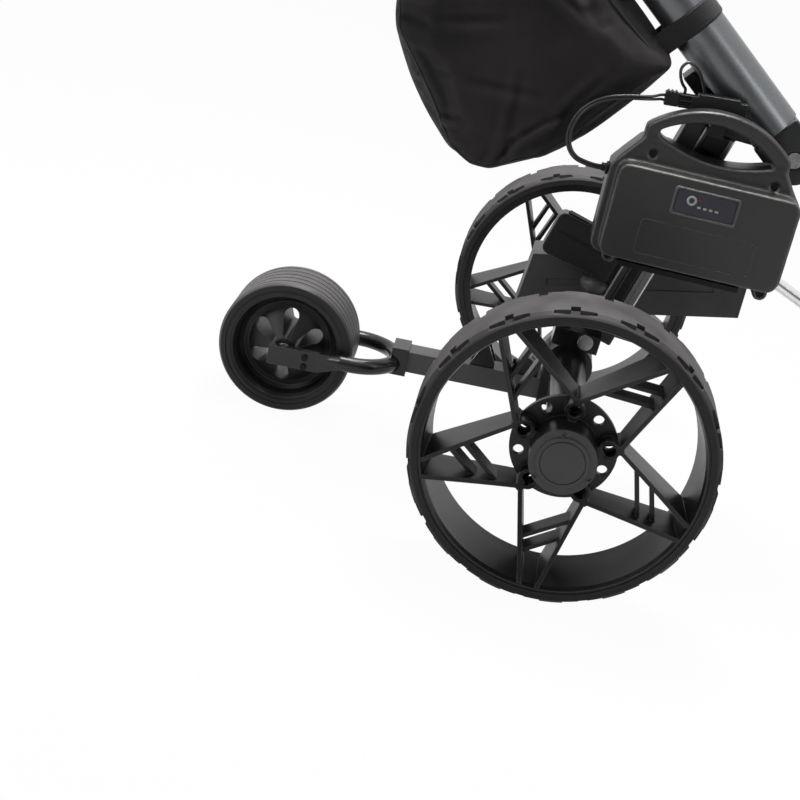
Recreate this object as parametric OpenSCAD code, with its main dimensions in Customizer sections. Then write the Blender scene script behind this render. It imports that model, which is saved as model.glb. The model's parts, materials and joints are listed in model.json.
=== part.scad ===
// Electric golf trolley, standing on its three wheels with the handle folded forward.
// +X is the rear, +Y the right-hand side, +Z up. The origin is on the floor under the rear axle.

/* [Rear wheels] */
// Outer diameter of a rear tyre over its lugs
wheel_d = 300; // [280:2:320]
// Width of a rear tyre
tyre_w = 74; // [64:1:84]
// Distance between the middles of the two rear tyres
wheel_track = 576; // [540:2:620]
// Radial thickness of a rear tyre, lugs included
tyre_t = 11; // [9:1:14]
// Depth of the tread notches
lug_h = 4; // [2:0.5:4.5]
// Tread lugs round a rear tyre
lugs = 15; // [10:1:20]
// Wall of the rim barrel
rim_wall = 4; // [3:0.5:6]
// Arms of a rear wheel
arms = 5; // [3:1:7]
// Direction of the first arm, counted from the rear
arm_turn = 56; // [0:1:72]
// Thickness of one arm blade
blade_t = 4.4; // [3.5:0.1:7]
// Depth of the blades across the wheel, at the rim
blade_w = 59; // [48:1:62]
// Radius of the flange around the hub
flange_r = 53; // [48:1:58]
// Diameter of the holes in the hub flange
flange_hole_d = 10.5; // [6:0.5:12]
// Radius of the hub and its cap
hub_r = 33; // [29:1:36]
// Thickness of the hub cap
cap_t = 6; // [4:0.5:8]

/* [Front wheel] */
// Diameter of the front wheel
nose_d = 153; // [140:1:165]
// Width of the front wheel
nose_w = 76; // [60:1:80]
// Distance from the rear axle forward to the front axle
wheelbase = 311; // [300:1:340]
// Radius of the seat of the front tyre
nose_seat_r = 68; // [64:0.5:71]
// Diameter of the front axle
nose_axle_d = 8; // [6:0.5:10]

/* [Axle and frame] */
// Outer diameter of the axle tube
axle_d = 40; // [38:0.5:41]
// Wall of the axle tube
axle_wall = 2.5; // [2:0.25:3]
// Length of the axle tube
axle_len = 472; // [450:2:480]
// Diameter of a wheel shaft
shaft_d = 12; // [10:0.5:14]
// Width of the boom
boom_w = 30; // [26:1:34]
// Height of the boom
boom_h = 24; // [22:0.5:26]
// Wall of the boom
boom_wall = 2.5; // [2:0.25:4]
// Slope of the boom, rising to the rear
frame_slope = 4.8; // [4:0.1:5.6]
// Height of the boom's middle under the rear axle
boom_z = 107.5; // [106:0.5:109]
// Forward end of the boom, ahead of the rear axle
boom_front = 178; // [170:1:186]
// Diameter of the fork tube
fork_d = 18; // [14:0.5:19]
// Gap between a fork blade and the front wheel
fork_gap = 6; // [4:0.5:8]
// Height of the flattened fork blades
fork_blade_h = 22; // [20:1:26]
// Thickness of the flattened fork blades
fork_blade_t = 8; // [6:0.5:10]

/* [Mast] */
// Lean of the mast from upright
mast_lean = 13; // [11:0.5:15]
// Size of the mast section from front to rear
mast_x = 35; // [32:0.5:37]
// Size of the mast section across the trolley
mast_y = 30; // [26:0.5:30]
// Wall of the mast section
mast_wall = 2.5; // [2:0.25:4]
// Height of the mast's cut top end above its pivot
mast_top = 262; // [255:1:268]
// Diameter of the pin that the mast folds on
mast_pin_d = 10; // [8:0.5:11]

/* [Handle] */
// Angle of the folded handle post above level
post_rise = 36.5; // [34:0.5:39]
// Outer diameter of the handle post
post_d = 58; // [54:1:60]
// Wall of the handle post
post_wall = 3; // [2:0.5:4]
// Length of the handle post beyond its pivot
post_len = 455; // [435:5:480]
// Diameter of the handle hinge bolt
bolt_d = 10; // [8:0.5:12]
// Width across the two handle grips
grip_span = 250; // [230:5:280]
// Diameter of a grip
grip_d = 30; // [26:1:34]

/* [Battery] */
// Length of the battery case
case_l = 204; // [196:1:210]
// Height of the battery case below its handle
case_h = 98; // [94:1:102]
// Depth of the battery case
case_t = 68; // [62:1:72]
// Wall of the battery case
case_wall = 2.5; // [2:0.25:3.5]
// Thickness of the carrying handle
carry_t = 24; // [18:1:28]
// Travel of the battery off its tray
battery_travel = 110; // [60:5:140]

/* [Storage bag] */
// Width of the soft bag across the trolley
bag_w = 100; // [70:5:104]
// Length of the soft bag along the handle post
bag_l = 245; // [220:5:255]

/* [Anti-tip wheel] */
// Diameter of the anti-tip rod
rod_d = 14; // [12:0.5:16]
// Diameter of the anti-tip wheel
tip_wheel_d = 54; // [44:1:58]
// Straight length of the rod behind the mast
rod_len = 240; // [220:5:260]

/* [Hidden] */
$fn = 96;

// General clearances
fit = 0.05;
seat_gap = 0.3;
side_gap = 0.6;

// Rear wheels
wheel_r = wheel_d / 2;
wheel_y = wheel_track / 2;
seat_r = wheel_r - tyre_t;
rim_in = seat_r - rim_wall;
half_w = tyre_w / 2;
hub_out = half_w - 7;
vee_r = 54;
vee_z = 12;
boss_r = 44;

// Front wheel
nose_r = nose_d / 2;
nose_half = nose_w / 2;
blade_y = nose_half + fork_gap + fork_blade_t / 2;

// Axle
axle_r = axle_d / 2;
bore_r = axle_r - axle_wall;
bearing_w = 12;
motor_len = 95;
gearbox_len = 60;
motor_in = 45;

// Frame, in the boom's own frame
nose_x = -wheelbase * cos(frame_slope) + (nose_r - boom_z) * sin(frame_slope);
nose_z = wheelbase * sin(frame_slope) + (nose_r - boom_z) * cos(frame_slope);
crown_x = nose_x + nose_r + fork_d / 2 + 39;
bend_x = crown_x - blade_y;

// Axle block and mast pivot
pivot_x = 10;
pivot_z = wheel_r + 34;
near_cheek = 45;
far_cheek = 20.3;
cheek_gap = mast_y / 2 + side_gap;
foot_r = 12;
mast_off = 13.2;
mast_foot_z = 16;

// Brace
brace_t = 16;
brace_w = 16;
brace_angle = 60;
brace_x = -42;
brace_z = boom_z + brace_x * tan(frame_slope) + boom_h / 2 / cos(frame_slope) + 9;
brace_pin_d = 6;
foot_front = mast_off - mast_x / 2;
brace_reach = foot_front - brace_t / 2 - seat_gap;
brace_len = ((pivot_x - brace_x + brace_reach * cos(mast_lean)) * cos(mast_lean)
  - (pivot_z - brace_z - brace_reach * sin(mast_lean)) * sin(mast_lean)) / cos(brace_angle + mast_lean);

// Handle hinge
hinge_x = 163;
hinge_z = 433;
plate_half = 12;
hinge_eye_r = 19;
slot_half = plate_half + side_gap;
knuckle_half = 26;
seam_s = 35;

// Battery
case_x = 80;
case_y = -58;
case_z = 346;
case_tilt = 2.5;
case_back = case_y + case_t / 2;

// Controller box
box_y = 21.5;
box_t = 60;
box_wall = 2.5;
box_tilt = 14.4;
box_split = box_y + box_t / 2;
box_outline = [[-74, 176], [171, 239], [168, 307], [-70, 246]];

// Anti-tip rod
rod_fall = 20.5;
rod_turn = 50;
rod_bend = 60;
rod_drop = 165;
rod_y = 0;

// Route of the battery lead, and of the thin cable beside the socket
lead_points = [[-29, -52, 377], [-37, -53, 376], [-48, -56, 377], [-60, -58, 380], [-69, -59, 388],
  [-74, -60, 401], [-73, -60, 416], [-67, -60, 430], [-56, -60, 442], [-42, -60, 450], [-26, -58, 455],
  [-12, -56, 458], [-1, -51, 460], [7, -44, 462], [13, -38, 462]];
cable_points = [[30, -38, 471], [29, -39, 476], [24, -46, 481], [19, -54, 489], [17, -58, 498], [22, -58, 505],
  [31, -54, 503], [39, -45, 495], [46, -36, 484], [54, -27, 471], [62, -20, 459], [70, -15, 449], [76, -11, 444]];

// ---------- helpers ----------

// Draws in the plane of the wheels: x stays, y goes up, z comes out to the left-hand side
module facing() rotate([90, 0, 0]) children();

// Moves to the boom's own frame, x along the boom
module boom_frame() translate([0, 0, boom_z]) rotate([0, -frame_slope, 0]) children();

// Moves to the mast's own frame, z up the mast from its pivot
module mast_frame() translate([pivot_x, 0, pivot_z]) rotate([0, mast_lean, 0]) children();

// Moves to the post's own frame: x along the post from its pivot, z to its upper side
module post_frame() translate([hinge_x, 0, hinge_z]) rotate([0, 180 + post_rise, 0]) mirror([0, 0, 1]) children();

// Moves to the battery's own frame: x along it, y out to its face, z up
module case_frame() translate([case_x, case_y, case_z]) rotate([0, -case_tilt, 0]) children();

// Moves to a rear wheel; side is -1 on the left and 1 on the right, z local points outwards
module wheel_frame(side) translate([0, side * wheel_y, wheel_r]) mirror([0, side > 0 ? 1 : 0, 0]) facing() children();

// A ring about z
module ring(outer, inner, height) difference() {
  cylinder(r = outer, h = height);
  translate([0, 0, -1]) cylinder(r = inner, h = height + 2);
}

// A cylinder across the trolley, from y0 to y1
module across(x, z, r, y0, y1) translate([x, y0, z]) rotate([-90, 0, 0]) cylinder(r = r, h = y1 - y0);

// A rectangle with round corners
module round_rect(l, h, r) {
  square([l - 2 * r, h], center = true);
  square([l, h - 2 * r], center = true);
  for (x = [-1, 1], y = [-1, 1]) translate([x * (l / 2 - r), y * (h / 2 - r)]) circle(r = r);
}

// Ring of points around one point of a route
function unit(v) = v / norm(v);
function heading(p, i) = unit(p[min(i + 1, len(p) - 1)] - p[max(i - 1, 0)]);
function side_of(d) = unit(cross(d, abs(d[1]) > 0.9 ? [1, 0, 0] : [0, 1, 0]));
function route_ring(p, i, r, n) = let (d = heading(p, i), a = side_of(d), b = cross(d, a))
  [for (k = [0:n - 1]) p[i] + r * cos(360 * k / n) * a + r * sin(360 * k / n) * b];

// A round cord along a route
module cord(p, d, n = 8) {
  m = len(p);
  points = [for (i = [0:m - 1]) each route_ring(p, i, d / 2, n)];
  sides = [for (i = [0:m - 2], k = [0:n - 1])
    [i * n + k, i * n + (k + 1) % n, (i + 1) * n + (k + 1) % n, (i + 1) * n + k]];
  polyhedron(points, concat([[for (k = [n - 1:-1:0]) k]], sides, [[for (k = [0:n - 1]) (m - 1) * n + k]]));
}

// ---------- rear wheels ----------

module tyre() color("dimgray") difference() {
  rotate_extrude() polygon([[seat_r, -half_w], [wheel_r - 5, -half_w], [wheel_r, -half_w + 6],
    [wheel_r, half_w - 6], [wheel_r - 5, half_w], [seat_r, half_w]]);
  for (i = [0:lugs - 1], e = [-1, 1]) rotate(i * 360 / lugs + e * 90 / lugs)
    for (n = [[9, 19], [40, 8]]) translate([wheel_r - lug_h, -n[0] / 2, e > 0 ? half_w - n[1] : -half_w - 1])
      cube([lug_h + 5, n[0], n[1] + 1]);
}

// One arm: two deep blades that close towards the rim
spread = 180 / arms;
tip_turn = 3.5;
arm_foot_r = 4.6;
function on_blade(s, d) = vee_r * [cos(spread), s * sin(spread)] * (1 - d)
  + (rim_in + 2) * [cos(tip_turn), s * sin(tip_turn)] * d;
module strip(a, b) translate(a) rotate(atan2(b[1] - a[1], b[0] - a[0])) translate([0, -blade_t / 2])
  square([norm(b - a), blade_t]);
module arm_outline() for (s = [-1, 1]) strip(on_blade(s, -0.02), on_blade(s, 1));
module arm_bars() for (d = [[0.25, 0.57], [0.47, 0.73]]) strip(on_blade(1, d[0]), on_blade(-1, d[1]));

// The arms with their fronts dished towards the hub, the hub with its flange, and a boss at each foot
module spider() {
  back = half_w - 4 - blade_w;
  dish = (rim_in - vee_r) / (half_w - 4 - vee_z);
  difference() {
    union() {
      translate([0, 0, back]) linear_extrude(blade_w) for (i = [0:arms - 1]) rotate(arm_turn + i * 360 / arms) {
        arm_outline();
        rotate(spread) {
          translate([hub_r - 3, -4]) square([vee_r - hub_r + 4, 8]);
          translate([vee_r, 0]) circle(r = arm_foot_r);
        }
      }
      translate([0, 0, -10]) linear_extrude(20) for (i = [0:arms - 1]) rotate(arm_turn + i * 360 / arms) arm_bars();
      for (i = [0:arms - 1]) rotate(arm_turn + spread + i * 360 / arms)
        translate([boss_r, 0, -10]) cylinder(r = 10, h = 30);
    }
    translate([0, 0, vee_z - 4]) cylinder(r1 = vee_r - 4 * dish, r2 = vee_r + 36 * dish, h = 40);
    for (i = [0:arms - 1]) rotate(arm_turn + spread + i * 360 / arms)
      translate([boss_r, 0, -3]) cylinder(r = 6.6, h = 40);
  }
  translate([0, 0, -half_w]) cylinder(r = hub_r, h = half_w + hub_out);
  translate([0, 0, -11]) cylinder(r = flange_r, h = 6);
}

module rim() color("darkslategray") difference() {
  union() {
    rotate_extrude() polygon([[rim_in - 5, -half_w + 2], [seat_r, -half_w + 2], [seat_r, half_w - 2],
      [rim_in + 1, half_w - 2], [rim_in - 1, half_w - 8]]);
    spider();
  }
  translate([0, 0, -half_w - 1]) cylinder(r = shaft_d / 2 + fit, h = tyre_w + 2);
  for (i = [0:2 * arms - 1]) rotate(arm_turn + i * 180 / arms)
    translate([boss_r, 0, -12]) cylinder(d = flange_hole_d, h = 10);
}

module cap() color("gray") translate([0, 0, hub_out]) difference() {
  union() {
    cylinder(r = hub_r, h = cap_t - 2);
    cylinder(r = hub_r - 7.5, h = cap_t);
  }
  translate([0, 0, cap_t - 1.2]) ring(hub_r - 10.5, hub_r - 12, 2);
  for (i = [0:2]) rotate(103 + 120 * i) translate([hub_r - 3.8, 0, cap_t - 3.5]) cylinder(d = 5.6, h = 4);
  translate([0, 0, -1]) cylinder(r = shaft_d / 2 + 1, h = 3);
}

// The wheel shaft, from the gearbox out to the hub
shaft_in = wheel_y - (motor_in + motor_len + gearbox_len / 2);
module shaft() color("silver") {
  translate([0, 0, -shaft_in]) cylinder(r = shaft_d / 2, h = shaft_in + hub_out);
  translate([0, 0, -shaft_in]) cylinder(r = bore_r - 4, h = 6);
}

// Motor armature with its own shaft
module rotor() color("peru") {
  translate([0, 0, motor_in + 8 - wheel_y]) cylinder(r = bore_r - 5, h = motor_len - 20);
  translate([0, 0, motor_in + 1 - wheel_y]) cylinder(r = 3, h = motor_len + 14);
}

module left_tyre() wheel_frame(-1) tyre();
module left_rim() wheel_frame(-1) rim();
module left_cap() wheel_frame(-1) cap();
module left_shaft() wheel_frame(-1) shaft();
module left_rotor() wheel_frame(-1) rotor();
module right_tyre() wheel_frame(1) tyre();
module right_rim() wheel_frame(1) rim();
module right_cap() wheel_frame(1) cap();
module right_shaft() wheel_frame(1) shaft();
module right_rotor() wheel_frame(1) rotor();

// ---------- front wheel ----------

groove_step = 13;
module front_tyre() color("dimgray") translate([-wheelbase, 0, nose_r]) facing() difference() {
  rotate_extrude() polygon([[nose_seat_r, -nose_half], [nose_r - 3, -nose_half], [nose_r, -nose_half + 5],
    [nose_r, nose_half - 5], [nose_r - 3, nose_half], [nose_seat_r, nose_half]]);
  for (i = [-2:2]) translate([0, 0, i * groove_step - 1]) ring(nose_r + 1, nose_r - 2.5, 2);
}

// Rim with a wide lip and a bowl each side: the cone in it comes back out to the hub, and six petals go through
petal_out = nose_seat_r - 33;
petal_in = 17;
module petal() {
  translate([petal_out, 0]) circle(r = 8.5);
  translate([petal_in, 0]) circle(r = 4.5);
  polygon([[petal_in, -4.5], [petal_out, -8.5], [petal_out, 8.5], [petal_in, 4.5]]);
}

module front_rim() color("darkslategray") translate([-wheelbase, 0, nose_r]) facing() difference() {
  for (s = [0, 1]) mirror([0, 0, s]) rotate_extrude() polygon([
    [nose_axle_d / 2 + fit, nose_half], [12, nose_half], [nose_seat_r - 24, 20], [nose_seat_r - 18, 18.5],
    [nose_seat_r - 14, 22.5], [nose_seat_r - 11.5, 31], [nose_seat_r - 8, 36], [nose_seat_r - 4, nose_half - 0.5],
    [nose_seat_r, nose_half - 1], [nose_seat_r, 0], [nose_seat_r - 4, 0], [nose_seat_r - 4, 31],
    [nose_seat_r - 8, 30], [nose_seat_r - 10.5, 20], [nose_seat_r - 16, 14], [nose_seat_r - 22, 14],
    [nose_seat_r - 22, 0], [nose_axle_d / 2 + fit, 0]]);
  for (i = [0:5]) rotate(i * 60 + 33.6) translate([0, 0, -nose_half - 1]) linear_extrude(nose_w + 2) petal();
}

// ---------- axle ----------

tube_in = cheek_gap + 3;
module axle_tube() color("black") for (side = [-1, 1]) mirror([0, side > 0 ? 0 : 1, 0])
  translate([0, tube_in, wheel_r]) rotate([-90, 0, 0]) ring(axle_r, bore_r, axle_len / 2 - tube_in);

// The casting that both axle tubes plug into, with its foot on the boom and the cheeks of the mast pivot
module axle_block() color("black") difference() {
  union() {
    difference() {
      across(0, wheel_r, axle_r + 7, -near_cheek, far_cheek);
      for (y = [-near_cheek - 1, tube_in]) across(0, wheel_r, axle_r + fit, y, y + near_cheek + 1 - tube_in);
    }
    for (y = [-motor_in + 2, cheek_gap]) across(0, wheel_r, bore_r - fit, y, y + motor_in - 2 - cheek_gap);
    translate([-26, -near_cheek, wheel_r + axle_r + 2]) cube([52, near_cheek - cheek_gap, 20]);
    translate([-12, cheek_gap, wheel_r + axle_r]) cube([36, far_cheek - cheek_gap, 26]);
    boom_frame() translate([-22, -boom_w / 2 - 4, -boom_h / 2 - 4]) cube([34, boom_w + 8, boom_h + 13]);
  }
  translate([-60, -cheek_gap, boom_z + boom_h / 2 + 11]) cube([120, 2 * cheek_gap, 100]);
  boom_frame() translate([-60, -boom_w / 2 - fit, -boom_h / 2 - fit]) cube([100, boom_w + 2 * fit, boom_h + 2 * fit]);
  across(pivot_x, pivot_z, mast_pin_d / 2 + fit, -near_cheek - 1, far_cheek + 1);
}

module mast_pin() color("silver") {
  across(pivot_x, pivot_z, mast_pin_d / 2, -near_cheek, far_cheek);
  across(pivot_x, pivot_z, mast_pin_d / 2 + 3.5, -near_cheek - 5, -near_cheek);
}

// Motor cans, gearbox cans and end bearings, one set each side
module drive_units() for (side = [-1, 1]) mirror([0, side > 0 ? 0 : 1, 0]) translate([0, 0, wheel_r])
  rotate([-90, 0, 0]) {
    r = bore_r - fit;
    color("silver") translate([0, 0, motor_in]) difference() {
      cylinder(r = r, h = motor_len);
      translate([0, 0, 5]) cylinder(r = r - 2, h = motor_len - 10);
      translate([0, 0, -1]) cylinder(r = 3 + fit, h = motor_len + 2);
    }
    color("gray") translate([0, 0, motor_in + motor_len]) difference() {
      cylinder(r = r, h = gearbox_len);
      translate([0, 0, 5]) cylinder(r = r - 2.5, h = gearbox_len - 10);
      translate([0, 0, -1]) cylinder(r = 3 + fit, h = gearbox_len / 2);
      translate([0, 0, gearbox_len / 2]) cylinder(r = shaft_d / 2 + fit, h = gearbox_len);
    }
    color("silver") translate([0, 0, axle_len / 2 - bearing_w - 2]) ring(r, shaft_d / 2 + fit, bearing_w);
  }

// ---------- boom, fork and brace ----------

module boom() color("dimgray") boom_frame() difference() {
  translate([-boom_front, -boom_w / 2, -boom_h / 2]) cube([boom_front + 14, boom_w, boom_h]);
  translate([-boom_front - 1, -boom_w / 2 + boom_wall, -boom_h / 2 + boom_wall])
    cube([boom_front + 16, boom_w - 2 * boom_wall, boom_h - 2 * boom_wall]);
}

module crown(r) translate([bend_x, 0, nose_z]) rotate(-90) rotate_extrude(angle = 180) translate([blade_y, 0]) circle(r = r);

module boom_collar() color("black") boom_frame() difference() {
  translate([crown_x - 5, -boom_w / 2 - 3, nose_z - fork_d / 2 - 3])
    cube([-boom_front + 9 - crown_x, boom_w + 6, boom_h / 2 + 3 - nose_z + fork_d / 2 + 3]);
  translate([-boom_front - fit, -boom_w / 2 - fit, -boom_h / 2 - fit]) cube([60, boom_w + 2 * fit, boom_h + 2 * fit]);
  crown(fork_d / 2 + fit);
}

// A U-bent tube whose two ends are flattened into blades
blade_len = 70;
axle_half = blade_y + fork_blade_t / 2 - 2.5;
blade_end = nose_x + blade_len - 16;
module fork() color("black") boom_frame() difference() {
  union() {
    crown(fork_d / 2);
    for (s = [-1, 1]) translate([0, s * blade_y, 0]) {
      translate([blade_end - 6, 0, nose_z]) rotate([0, 90, 0]) {
        cylinder(r1 = fork_blade_t / 2, r2 = fork_d / 2, h = 18);
        translate([0, 0, 18]) cylinder(r = fork_d / 2, h = bend_x - blade_end - 12);
      }
      translate([0, fork_blade_t / 2, nose_z - 5]) rotate([90, 0, 0]) linear_extrude(fork_blade_t)
        polygon([[nose_x - 16, -fork_blade_h / 2], [blade_end - 12, -fork_blade_h / 2], [blade_end + 12, -3],
          [blade_end + 12, 12.5], [blade_end - 12, fork_blade_h / 2], [nose_x - 16, fork_blade_h / 2]]);
    }
  }
  translate([nose_x, -axle_half, nose_z]) rotate([-90, 0, 0]) cylinder(r = nose_axle_d / 2 + fit, h = 2 * axle_half);
  for (s = [-1, 1], z = [-14, -3]) translate([nose_x + 26, s * blade_y - fork_blade_t, nose_z + z + 2])
    rotate([-90, 0, 0]) cylinder(r = 2.05, h = 2 * fork_blade_t);
}

module fork_screws() color("silver") boom_frame() for (s = [-1, 1], z = [-14, -3]) {
  translate([nose_x + 26, s * blade_y, nose_z + z + 2]) rotate([-s * 90, 0, 0]) {
    translate([0, 0, -fork_blade_t / 2]) cylinder(r = 2, h = fork_blade_t);
    translate([0, 0, fork_blade_t / 2]) cylinder(r = 3.6, h = 2.4);
  }
}

module front_axle() color("silver") boom_frame() translate([nose_x, 0, nose_z]) rotate([-90, 0, 0]) {
  translate([0, 0, 0.1 - axle_half]) cylinder(r = nose_axle_d / 2, h = 2 * axle_half - 0.2);
  for (s = [0, 1]) mirror([0, 0, s]) translate([0, 0, nose_half + 0.4])
    cylinder(r = 8, h = fork_gap - 0.4 - fit);
}

// Saddle on the boom with the brace pin, and the clip that the folded brace lies in
module brace_bracket() color("black") {
  difference() {
    for (s = [-1, 1]) translate([0, s * (brace_w / 2 + side_gap + 2), 0]) {
      across(brace_x, brace_z, 9, -2, 2);
      boom_frame() translate([brace_x - 14, -2, boom_h / 2]) cube([30, 4, 9]);
    }
    boom_frame() translate([-100, -20, boom_h / 2 - 40]) cube([100, 40, 40]);
  }
  across(brace_x, brace_z, brace_pin_d / 2, -brace_w / 2 - 4, brace_w / 2 + 4);
  boom_frame() for (s = [-1, 1]) translate([-92, s * (brace_w / 2 + side_gap + 2) + 2, boom_h / 2]) rotate([90, 0, 0])
    linear_extrude(4) polygon([[-12, 0], [16, 0], [16, 5], [6, 26], [0, 26]]);
}

module brace() color("silver") translate([brace_x, 0, brace_z]) rotate([0, -brace_angle, 0]) difference() {
  union() {
    translate([0, -brace_w / 2, -brace_t / 2]) cube([brace_len, brace_w, brace_t]);
    for (x = [0, brace_len]) translate([x, -brace_w / 2, 0]) rotate([-90, 0, 0]) cylinder(r = brace_t / 2, h = brace_w);
  }
  rotate([-90, 0, 0]) translate([0, 0, -20]) cylinder(r = brace_pin_d / 2 + fit, h = 40);
  for (s = [-1, 1]) translate([12, s > 0 ? brace_w / 2 - 3 : -brace_w / 2 - 1, -4]) cube([brace_len - 20, 4, 8]);
}

// ---------- mast ----------

module mast() color("dimgray") mast_frame() translate([mast_off, 0, mast_foot_z])
  linear_extrude(mast_top - mast_foot_z) difference() {
    square([mast_x, mast_y], center = true);
    square([mast_x - 2 * mast_wall - 4, mast_y - 2 * mast_wall - 6], center = true);
    for (s = [-1, 1]) {
      translate([-2, s * mast_y / 2]) square([11, 5], center = true);
      translate([s * mast_x / 2, 0]) square([3, 8], center = true);
      translate([9, s * mast_y / 2]) square([1.2, 2], center = true);
    }
  }

// Foot casting: pivot eye, plug in the mast and the seat of the brace on its front
module mast_foot() color("gray") mast_frame() difference() {
  union() {
    for (y = [-mast_y / 2, brace_w / 2 + side_gap]) translate([0, y, 0]) rotate([-90, 0, 0])
      cylinder(r = foot_r, h = mast_y / 2 - brace_w / 2 - side_gap);
    rotate([-90, 0, 0]) translate([0, 0, -mast_y / 2]) cylinder(r = mast_pin_d / 2 + 1.5, h = mast_y);
    translate([foot_front, -mast_y / 2, 0]) cube([mast_x, mast_y, mast_foot_z]);
    translate([mast_off - 8, -6, 0]) cube([16, 12, mast_foot_z + 24]);
  }
  rotate([-90, 0, 0]) translate([0, 0, -40]) cylinder(r = mast_pin_d / 2 + fit, h = 80);
}

// Head casting: cap on the mast and the plate that carries the handle hinge
module head_plate() difference() {
  union() {
    mast_frame() translate([foot_front - 1, -mast_y / 2, mast_top]) cube([mast_x + 1, mast_y, 5]);
    translate([0, plate_half, 0]) facing() linear_extrude(2 * plate_half) {
      polygon([[70, 443], [97, 434], [130, 434], [hinge_x, hinge_z - hinge_eye_r], [hinge_x, hinge_z + 8],
        [140, 452], [92, 452]]);
      translate([hinge_x, hinge_z]) circle(r = hinge_eye_r);
    }
  }
  across(hinge_x, hinge_z, bolt_d / 2 + fit, -20, 20);
  mast_frame() translate([foot_front - 20, -20, mast_top - 30]) cube([mast_x + 22, 40, 30]);
}
module mast_head() color("gray") {
  head_plate();
  mast_frame() translate([foot_front - 20, -mast_y / 2, mast_top - 40]) cube([20 - fit, mast_y, 45]);
}

module hinge_bolt() color("silver") {
  across(hinge_x, hinge_z, bolt_d / 2, -knuckle_half + 4, knuckle_half);
  across(hinge_x, hinge_z, 8.5, -knuckle_half - 1, -knuckle_half + 4);
}

// ---------- lower bag cradle ----------

cradle_z = 58;
cradle_h = 50;
cradle_reach = 82;
cradle_half = 11;

// Side outline of the cradle: x ahead of the mast, y up it
module cradle_outline() difference() {
  union() {
    translate([-cradle_reach / 2, cradle_h / 2]) round_rect(cradle_reach, cradle_h, 8);
    translate([-20, 0]) square([20, cradle_h]);
  }
  translate([12, cradle_h + 32]) circle(r = 44);
  translate([-30, -150]) circle(r = 152);
}

module cradle_frame() mast_frame() translate([foot_front, 0, cradle_z]) children();

module cradle_bracket() color("black") cradle_frame()
  translate([-5, -cradle_half, 4]) cube([5 - fit, 2 * cradle_half, cradle_h - 16]);

module lower_cradle() color("black") cradle_frame() difference() {
  translate([-5, cradle_half, 0]) rotate([90, 0, 0]) linear_extrude(2 * cradle_half) cradle_outline();
  for (s = [-1, 1]) translate([-cradle_reach, s * cradle_half - 1.5, cradle_h * 0.56]) cube([cradle_reach - 20, 3, 1.8]);
  translate([-cradle_reach + 4, -cradle_half + 3, cradle_h - 4]) cube([34, 2 * cradle_half - 6, 5]);
}

module cradle_pad() color("dimgray") cradle_frame()
  translate([-cradle_reach + 4 + fit, -cradle_half + 3 + fit, cradle_h - 4]) cube([34 - 2 * fit, 2 * cradle_half - 6 - 2 * fit, 6]);

// ---------- controller box ----------

module box_solid(inset, y0, y1) translate([0, y1, 0]) facing() linear_extrude(y1 - y0) {
  p = box_outline;
  c = (p[0] + p[1] + p[2] + p[3]) / 4;
  k = [1 - inset / 122, 1 - inset / 33];
  polygon([for (q = p) [c[0] + (q[0] - c[0]) * k[0], c[1] + (q[1] - c[1]) * k[1]
    + (k[0] - k[1]) * (q[0] - c[0]) * tan(box_tilt)]]);
}

module controller_front() color("dimgray") {
  difference() {
    union() {
      box_solid(0, box_y, box_split);
      across(6, 231, 14, box_y - 3, box_y + 1);
    }
    box_solid(box_wall, box_y + box_wall, box_split + 1);
    translate([-46, box_y - 1, 215]) rotate([0, -box_tilt, 0]) cube([40, 2.2, 8]);
    translate([60, box_y - 1, 240]) rotate([0, -box_tilt, 0]) cube([78, 2.2, 26]);
  }
  mast_frame() translate([mast_off - 4, mast_y / 2, 40]) cube([18, box_y - mast_y / 2 + 1, 44]);
}

module controller_back() color("dimgray") difference() {
  box_solid(0, box_split, box_y + box_t);
  box_solid(box_wall, box_split - 1, box_y + box_t - box_wall);
}

board_l = 150;
board_w = 40;
board_t = 1.6;
board_y = box_split - 12;
driver_l = 60;
driver_w = 20;
driver_t = 12;
module board_frame() translate([-34, 0, 200]) rotate([0, -box_tilt, 0]) children();
module control_board() color("green") board_frame() {
  translate([0, board_y, 0]) cube([board_l, board_t, board_w]);
  translate([27, board_y + board_t, 10]) cube([driver_l, driver_t, driver_w]);
  for (x = [8, board_l - 10]) translate([x, box_y + box_wall, board_w / 2])
    rotate([-90, 0, 0]) cylinder(r = 3, h = board_y - box_y - box_wall);
}

// ---------- battery tray and socket ----------

module battery_tray() color("black") {
  case_frame() {
    translate([-55, case_t / 2 + seat_gap, -case_h / 2 + 3]) cube([96, -mast_y / 2 - case_back - seat_gap, case_h / 2 + 29]);
    translate([-70, -case_t / 2 + 6, -case_h / 2 - 6]) cube([130, case_t - 6 + (-mast_y / 2 - case_back), 6 - seat_gap]);
    translate([-55, case_t / 2 + seat_gap, -case_h / 2 - 6]) cube([96, -mast_y / 2 - case_back - seat_gap, 12]);
  }
}

plug_x = 12;
plug_split = 26;
socket_end = 98;
plug_y = -45;
plug_t = 13;
module plug_frame() translate([plug_x, plug_y, 455]) rotate([0, -6, 0]) children();
plug_l = plug_split - plug_x;
socket_l = socket_end - plug_split;

module battery_socket() color("black") {
  plug_frame() difference() {
    union() {
      translate([plug_l + seat_gap, 0, 0]) cube([socket_l, plug_t, 14]);
      translate([plug_l + 20, 0, 14]) cube([socket_l - 28, plug_t, 3]);
    }
    for (z = [3, 8.5]) translate([plug_l - 1, -1, z]) cube([14, 8, 3]);
  }
  translate([66, plug_y + 1, 436]) cube([16, -mast_y / 2 - plug_y - 2, 8]);
  translate([66, plug_y + 1, 436]) cube([16, plug_t - 2, 30]);
  mast_frame() translate([mast_off - 12, -mast_y / 2 - 4, mast_top - 22]) cube([24, 4, 22]);
}

module socket_cable() color("black") cord(cable_points, 3.2);

// ---------- anti-tip rod and wheel ----------

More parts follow.
